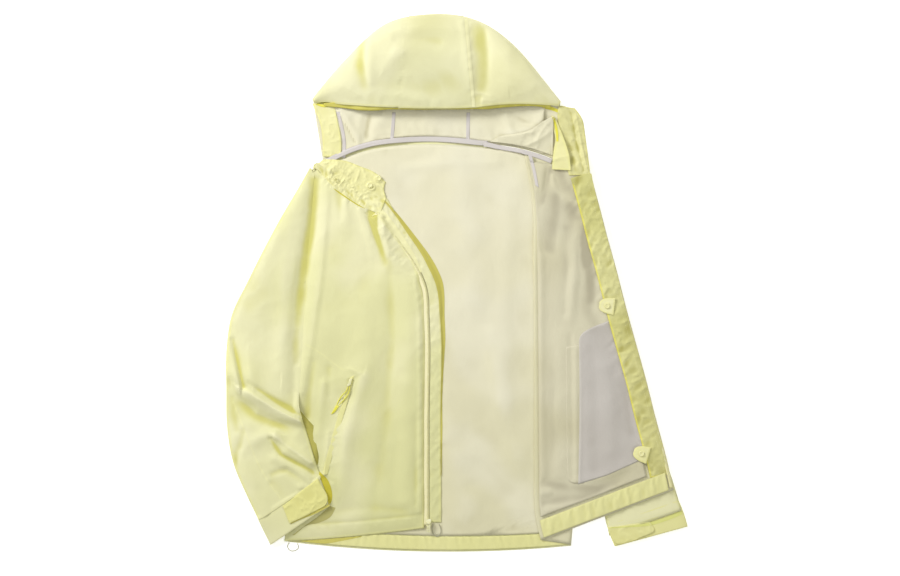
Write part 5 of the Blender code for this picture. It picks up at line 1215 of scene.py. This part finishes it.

# turned edges that show past the pieces over them, some in painted shade, and strips of painted shade: under the
# collar, the front hem and the cuff tab, and in the cuff's mouth
# the flap's turned side, coloured with painted shade
flapSideShade = {"look": "oliveShade", "slot": "shell", "columns": 6, "on": ("windFlap", "backLining"), "lift": (1.3, 0.3),
            # y, how far it reaches in over the flap, how far out past it
            "rows": ((146, 1, 1), (120, 2, 3), (90, 4, 4), (60, 5, 5), (30, 6, 7), (0, 5, 8), (-20, 4, 7), (-60, 2, 6),
                     (-100, 1, 6), (-130, 1, 4), (-160, 1, 2.5), (-200, 1, 1.6), (-250, 1, 2.4), (-300, 1, 1.6),
                     (-340, 0.6, 0.6))}
edgeAndShadeStrips = {
    "hoodFell": {"look": "fell", "slot": "shell", "columns": 3, "on": ("hoodCentre", "hoodLeft"), "lift": (0.45, 0.45),
                 "inner": ((26.6, 306), (21, 368.5), (15.5, 432.5), (13.7, 453), (12.6, 464)),
                 "outer": ((32.2, 306), (26.6, 368.5), (21, 432.5), (19.2, 453), (18, 464))},
    # the inside of the cuff's side, in painted shade
    "cuffSideShade": {"look": "yellowShade", "slot": "shell", "columns": 5, "on": ("rightFront", "rightCuff"),
                 "lift": (0.9, 0.3),
                 "inner": ((-243, -329), (-236, -347), (-229, -366), (-224, -386)),
                 "outer": ((-239.5, -330), (-226, -343.5), (-218.5, -364), (-218.5, -380), (-222, -388))},
    # painted shade in the cuff's mouth, partly its inside, and on the front below it
    "cuffMouth": {"look": "cuffShade", "slot": "shell", "columns": 5, "on": ("rightFront", "backHemFacing"),
                  "lift": (0.3, 0.2),
                  "inner": ((-288, -441), (-266, -425), (-240, -406), (-222, -390)),
                  "outer": ((-284, -441), (-262, -424), (-240, -419), (-220, -408), (-212, -393))},
    "flapSeam": {"look": "collar", "slot": "shell", "columns": 5, "on": ("rightFront", "windFlap", "rightCollar"),
                 "lift": (0.3, 0.3),
                 "inner": ((-143, 126), (-124, 103), (-101.5, 71.5), (-82, 43), (-66, 17)),
                 "outer": ((-131, 130), (-113, 108.5), (-93, 79.5), (-75, 51), (-61, 20))},
    "collarShade": {"look": "yellowShade", "slot": "shell", "columns": 2, "on": ("rightFront", "rightCollar"),
                    "lift": (0.35, 0.25),
                    "inner": ((-215, 165), (-208, 160.8), (-198, 153.8), (-186, 145.6), (-172, 136.8), (-161, 130.4)),
                    "outer": ((-215.4, 164.4), (-209, 158.8), (-199.2, 151.8), (-187, 143.8), (-173, 135),
                              (-161.4, 129.8))},
    "hemShade": {"look": "oliveShade", "slot": "shell", "columns": 4, "on": ("backHemFacing",), "lift": (0.4, 0.25),
                 "inner": ((-288, -447.5), (-260, -446.5), (-230, -445.5), (-195, -443.5), (-165, -442)),
                 "outer": ((-285, -450), (-258, -454), (-232, -456), (-200, -451), (-168, -444.5))},
    "leftCuffSeam": {"look": "cuffSeam", "slot": "shell", "columns": 3,
                     "on": ("leftSleeveTop", "leftCuff", "leftCuffTab"), "lift": (0.3, 0.3),
                     "inner": ((264, -427.5), (300, -424.5), (338, -418), (370, -407.5), (393, -398)),
                     "outer": ((264, -429), (300, -427), (338, -424), (370, -414.5), (394.5, -404.5))},
    "tabShade": {"look": "oliveShade", "slot": "shell", "columns": 3, "on": ("rightCuff",), "lift": (0.5, 0.3),
                 "inner": ((-291, -418), (-275, -408.6), (-252.6, -399.5), (-224, -386)),
                 "outer": ((-289.5, -421), (-272.8, -413), (-250.4, -404.6), (-221.5, -389.5))},
    "brimCornerRight": {"look": "brightCloth", "slot": "facing", "columns": 5, "on": ("hoodFaceFacing", "hoodLining"),
                        "lift": (2.2, 0.6),
                        "inner": ((-251, 319), (-235, 318.5), (-218.5, 317.6)),
                        "outer": ((-249, 313), (-235, 307.5), (-219, 309))},
    "brimCornerLeft": {"look": "brightCloth", "slot": "facing", "columns": 5,
                       "on": ("hoodLining", "hoodLeft", "chinTab"), "lift": (2.0, 0.8),
                       "inner": ((150, 311), (166, 308), (179, 302.5)),
                       "outer": ((150, 306), (165, 302), (178, 297.3))},
    "chinEdge": {"look": "brightCloth", "slot": "facing", "columns": 3,
                 "on": ("hoodLining", "chinTab", "leftCollarLining"), "lift": (0.5, 0.6),
                 "inner": ((165, 292), (170, 277), (173, 262), (174, 247)),
                 "outer": ((169, 292), (174, 277), (177, 262), (177, 247))},
}


def layStrip(name, values, inner, outer):
    # a strip between two lines of the same number of points, laid on the pieces under it
    columns = values["columns"]
    shape = bmesh.new()
    bmesh.ops.create_grid(shape, x_segments=columns, y_segments=len(inner) - 1, size=0.5)
    for vert in shape.verts:
        share, row = vert.co.x + 0.5, round((vert.co.y + 0.5) * (len(inner) - 1))
        x, y = inner[row] * (1 - share) + outer[row] * share
        found = drop(values["on"], x, y) or drop(values["on"], *inner[row])
        lift = values["lift"][0] * (1 - share) + values["lift"][1] * share
        vert.co = (x * mm, y * mm, (found[0].z if found else 0) + lift * mm)
    for _ in range(2):
        bmesh.ops.smooth_vert(shape, verts=[vert for vert in shape.verts if not vert.is_boundary], factor=0.5,
                              use_axis_z=True)
    mesh = bpy.data.meshes.new(name)
    shape.to_mesh(mesh)
    shape.free()
    mesh.materials.append(materials[values["look"]])
    mesh.shade_smooth()
    for label, amount in (("relief", 0.0), ("edge", 60.0)):
        layer = mesh.attributes.new(label, "FLOAT", "POINT")
        layer.data.foreach_set("value", np.full(len(mesh.vertices), amount, np.float32))
    settle(name, bpy.data.objects.new(name, mesh), values["slot"])


def makeFlapSideShade():
    line = besideLine(smoothLine(seams["frontZip"], 4.0), -29.5)
    line = line[(line[:, 1] > -338)]
    levels, inner, outer = (np.array(column) for column in zip(*flapSideShade["rows"][::-1]))
    heading = np.gradient(line, axis=0)
    heading /= np.linalg.norm(heading, axis=1)[:, None]
    across = np.stack([heading[:, 1], -heading[:, 0]], axis=1)
    layStrip("flapSideShade", flapSideShade, line - across * np.interp(line[:, 1], levels, inner)[:, None],
             line + across * np.interp(line[:, 1], levels, outer)[:, None])


def makeLaidStrip(name, values):
    inner, outer = (smoothLine(values[side], 0.5) for side in ("inner", "outer"))
    rows = max(8, len(inner) // 4)
    at = np.linspace(0, 1, rows)
    inner, outer = (line[(at * (len(line) - 1)).astype(int)] for line in (inner, outer))
    layStrip(name, values, inner, outer)


# back and cuffs, closed as they are

closedPieces = {
    # open: which way the end that is sewn to the sleeve faces
    "backPanel": {"node": "back", "look": "shell", "slot": "shell", "levels": 0, "rests": [], "cut": (0.53, 0.725)},
    "leftCuff": {"node": "left_cuff", "look": "cuff", "slot": "shell", "levels": 2, "open": (-0.22, 0.975, 0),
                 "rests": [], "cut": (0.254, 0.093)},
    "rightCuff": {"node": "right_cuff", "look": "sleeve", "slot": "shell", "levels": 2, "open": (-0.556, 0.831, 0),
                  "rests": [], "cut": (0.262, 0.105)},
}


def makeClosed(name, values):
    shape = sheetOf(values["node"], "all")
    crease = shape.edges.layers.float.new("crease_edge")
    for edge in shape.edges:
        if len(edge.link_faces) == 2 and edge.calc_face_angle() > 1.25:
            edge[crease] = 0.9
    if "open" in values:
        ends = [face for face in shape.faces if face.normal.dot(Vector(values["open"])) > 0.8]
        print(f"{name}: {len(ends)} end faces, {sum(face.calc_area() for face in ends):.5f} m2")
        bmesh.ops.delete(shape, geom=ends, context="FACES")
    if values["levels"]:
        holder = rounded(name, shape, values["levels"])
    else:
        mesh = bpy.data.meshes.new(name)
        shape.to_mesh(mesh)
        shape.free()
        holder = bpy.data.objects.new(name, mesh)
        bpy.context.scene.collection.objects.link(holder)
        soft = holder.modifiers.new("edge", "BEVEL")
        soft.width = 0.3 * mm
        soft.segments = 2
    mesh = holder.data
    for label, amount in (("relief", 0.0), ("edge", 60.0)):
        layer = mesh.attributes.new(label, "FLOAT", "POINT")
        layer.data.foreach_set("value", np.full(len(mesh.vertices), amount, np.float32))
    mesh.materials.clear()
    mesh.materials.append(materials[values["look"]])
    mesh.shade_smooth()
    settle(name, holder, values["slot"], values["node"])


for name, values in closedPieces.items():
    makeClosed(name, values)
clearOf("rightSleeveTop", ("rightCuff",), 0.95)
clearOf("leftSleeveTop", ("leftCuff",), 1.5)
print("closed pieces ready")

# stitching

stitch = {"length": 2.1, "width": 0.55, "height": 0.4, "pitch": 3.0, "sunk": 0.12}


def template(kind, size, round_by=0.0):
    # a small shape about the origin, along X
    shape = bmesh.new()
    if kind == "grain":
        bmesh.ops.create_uvsphere(shape, u_segments=6, v_segments=4, radius=0.5,
                                  matrix=Matrix.Rotation(math.pi / 2, 4, "Y"))
    else:
        bmesh.ops.create_cube(shape, size=1)
    bmesh.ops.scale(shape, verts=shape.verts, vec=Vector(size) * mm)
    if round_by:
        bmesh.ops.bevel(shape, geom=shape.edges[:], offset=round_by * mm, segments=1, profile=0.5, affect="EDGES",
                        material=-1)
    verts = np.array([vert.co[:] for vert in shape.verts])
    faces = [[vert.index for vert in face.verts] for face in shape.faces]
    shape.free()
    return verts, faces


def alongLine(line, pitch):
    travel = np.concatenate([[0], np.cumsum(np.linalg.norm(np.diff(line, axis=0), axis=1))])
    at = np.arange(pitch / 2, travel[-1], pitch)
    return np.stack([np.interp(at, travel, line[:, 0]), np.interp(at, travel, line[:, 1])], axis=1)


def rowOf(small, targets, line, pitch, sunk, across=False):
    # copies of a small shape set along a line on the pieces below
    verts, faces = small
    spots = alongLine(line, pitch)
    heading = np.gradient(spots, axis=0)
    allVerts, allFaces = [], []
    for (x, y), (ahead, side) in zip(spots, heading):
        found = drop(targets, x, y)
        if found is None:
            continue
        place, up = found
        forward = Vector((ahead, side, 0)).normalized()
        forward = (forward - up * forward.dot(up)).normalized()
        left = up.cross(forward)
        if across:
            forward, left = left, -forward
        turn = np.array([forward, left, up])
        base = len(allVerts) * len(verts)
        allVerts.append(verts @ turn + np.array(place) - np.array(up) * sunk * mm)
        allFaces += [[base + i for i in face] for face in faces]
    return allVerts, allFaces


def joinRows(name, rows, look, slot):
    verts, faces = [], []
    for rowVerts, rowFaces in rows:
        base = sum(len(part) for part in verts)
        verts += rowVerts
        faces += [[base + i for i in face] for face in rowFaces]
    mesh = bpy.data.meshes.new(name)
    mesh.from_pydata(np.concatenate(verts).tolist(), [], faces)
    mesh.materials.append(materials[look])
    mesh.shade_smooth()
    settle(name, bpy.data.objects.new(name, mesh), slot)
    print(f"{name}: {len(faces)} faces")


makeFlapSideShade()
for name, values in edgeAndShadeStrips.items():
    makeLaidStrip(name, values)

# seams in stitches: seam, offsets to its left, how much of it, pieces under it
stitchRows = {
    "shellStitches": ("thread", "shell", (
        ("frontZip", (6.0, 10.5), (0.02, 0.99), ("rightFront",)),
        ("frontZip", (-12.0, -27.6), (0.02, 0.98), ("windFlap",)),
        ("frontHem", (20.0,), (0.1, 0.97), ("rightFront",)),
        ("pocket", (-8.0, 9.0), (0.03, 0.97), ("rightFront", "rightPocketWelt")),
        ("collarJoin", (4.0,), (0.03, 0.97), ("rightCollar", "rightFront")),
        ("collarJoin", (-3.0,), (0.03, 0.6), ("rightCollar", "rightFront")),
        ("hoodSeamRight", (3.4, -3.4), (0.0, 0.98), ("hoodCentre", "hoodRight")),
        ("brim", (8.0,), (0.02, 0.98), ("hoodCentre", "hoodLeft", "hoodRight")),
    )),
    "seamStitches": ("seamThread", "shell", (
        ("sideDart", (0.9, -0.2, -1.3), (0.0, 1.0), ("rightFront",)),
        ("forearm", (1.0, -0.1, -1.2), (0.02, 0.98), ("rightSleeveTop",)),
    )),
    "facingStitches": ("thread", "facing", (
        ("leftZip", (9.6, 33.4), (0.04, 0.98), ("leftFrontFacing",)),
        ("leftHem", (27.0, 4.0), (0.04, 0.95), ("leftHemFacing",)),
        ("backHem", (26.0, 6.0), (0.02, 0.98), ("backHemFacing",)),
        ("standEdge", (0.0, -12.0), (0.02, 0.98), ("leftCollar",)),
    )),
    "cuffStitches": ("brightThread", "shell", (
        ("cuffTop", (-4.2, -8.6), (0.03, 0.97), ("rightSleeveTop", "rightCuff", "rightCuffTab")),
        ("leftCuffTop", (-17.4, -21.6), (0.03, 0.97), ("leftSleeveTop", "leftCuff", "leftCuffTab")),
    )),
}
grain = template("grain", (stitch["length"], stitch["width"], stitch["height"]))
for name, (look, slot, lines) in stitchRows.items():
    rows = []
    for seam, offsets, (start, end), targets in lines:
        line = smoothLine(seams[seam])
        first, last = int(start * (len(line) - 1)), int(end * (len(line) - 1)) + 1
        for offset in offsets:
            rows.append(rowOf(grain, targets, besideLine(line, offset)[first:last], stitch["pitch"], stitch["sunk"]))
    joinRows(name, rows, look, slot)

# zips

zipTeeth = {"size": (2.6, 0.95, 1.0), "pitch": 1.45, "round": 0.2, "rail": 1.5}
rightZip = {"node": "right_zip", "raise": 1.2, "levels": 2, "wall": 0.7, "look": "zipTape", "slot": "zip",
            "rests": ["back_lining"], "cut": (0.0126, 0.58)}
leftZip = {"node": "left_zip", "raise": 0.9, "levels": 2, "wall": 0.7, "look": "zipTape", "slot": "facing",
           "rests": ["left_front"], "cut": (0.0058, 0.56)}
makeCloth("rightZip", rightZip)
makeCloth("leftZip", leftZip)
tooth = template("block", zipTeeth["size"], zipTeeth["round"])
teethRows = []
for seam, offset, target in (("frontZip", -5.3, "rightZip"), ("leftZip", 3.4, "leftZip")):
    line = besideLine(smoothLine(seams[seam]), offset)[3:-3]
    teethRows.append(rowOf(tooth, (target,), line, zipTeeth["pitch"], -0.1, across=True))
joinRows("zipTeeth", teethRows, "coil", "zip")

# fittings

for node, look in (("main_slider", "slider"), ("pull_tab", "slider")):
    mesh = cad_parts[node].data
    mesh.materials.clear()
    mesh.materials.append(materials[look])

# snap cap: (radius, height) from the rim to the middle, in shares of its size
snapProfile = ((1.0, 0.0), (1.0, 0.45), (0.94, 0.78), (0.82, 0.95), (0.66, 1.0), (0.52, 0.82), (0.40, 0.68),
               (0.2, 0.62), (0.0, 0.6))


def makeSnap(name, node, slot):
    low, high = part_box(node)
    middle, radius, tall = (low + high) / 2, (high.x - low.x) / 2 + 0.8 * mm, (high.z - low.z) * 0.75
    shape = bmesh.new()
    profile = [shape.verts.new((share * radius, 0, lift * tall)) for share, lift in snapProfile]
    edges = [shape.edges.new(pair) for pair in zip(profile, profile[1:])]
    bmesh.ops.spin(shape, geom=profile + edges, axis=(0, 0, 1), cent=(0, 0, 0), steps=32, angle=2 * math.pi,
                   use_merge=True)
    bmesh.ops.remove_doubles(shape, verts=shape.verts, dist=0.005 * mm)
    rim = [edge for edge in shape.edges if edge.is_boundary]
    bmesh.ops.contextual_create(shape, geom=rim)
    bmesh.ops.recalc_face_normals(shape, faces=shape.faces)
    bmesh.ops.translate(shape, verts=shape.verts, vec=(middle.x, middle.y, low.z))
    mesh = bpy.data.meshes.new(name)
    shape.to_mesh(mesh)
    shape.free()
    mesh.materials.append(materials["snap"])
    mesh.shade_smooth()
    settle(name, bpy.data.objects.new(name, mesh), slot, node)


for name, node in (("collarSnapUpper", "collar_snap_upper"), ("collarSnapLower", "collar_snap_lower"),
                   ("tabSnapUpper", "tab_snap_upper"), ("tabSnapLower", "tab_snap_lower")):
    makeSnap(name, node, "snap")


def makeRounded(name, node, look, slot, rounding):
    # a small moulded piece on its CAD solid
    shape = sheetOf(node, "all")
    bmesh.ops.bevel(shape, geom=shape.edges[:], offset=rounding * mm, segments=2, profile=0.5, affect="EDGES",
                    material=-1)
    mesh = bpy.data.meshes.new(name)
    shape.to_mesh(mesh)
    shape.free()
    mesh.materials.append(materials[look])
    mesh.shade_smooth()
    settle(name, bpy.data.objects.new(name, mesh), slot, node)


makeRounded("pullerTip", "right_puller_tip", "bright", "puller", 0.7)
makeRounded("pocketSlider", "right_pocket_slider", "slider", "slider", 0.6)
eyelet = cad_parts["cord_eyelet"].data
eyelet.materials.clear()
eyelet.materials.append(materials["snap"])
print("fittings ready")

triangles = 0
for name, holder in finished.items():
    mesh = holder.evaluated_get(bpy.context.evaluated_depsgraph_get()).to_mesh()
    mesh.calc_loop_triangles()
    triangles += len(mesh.loop_triangles)
    if len(mesh.loop_triangles) > 60000:
        print(f"{name}: {len(mesh.loop_triangles)} triangles")
print(f"{triangles} triangles in all")
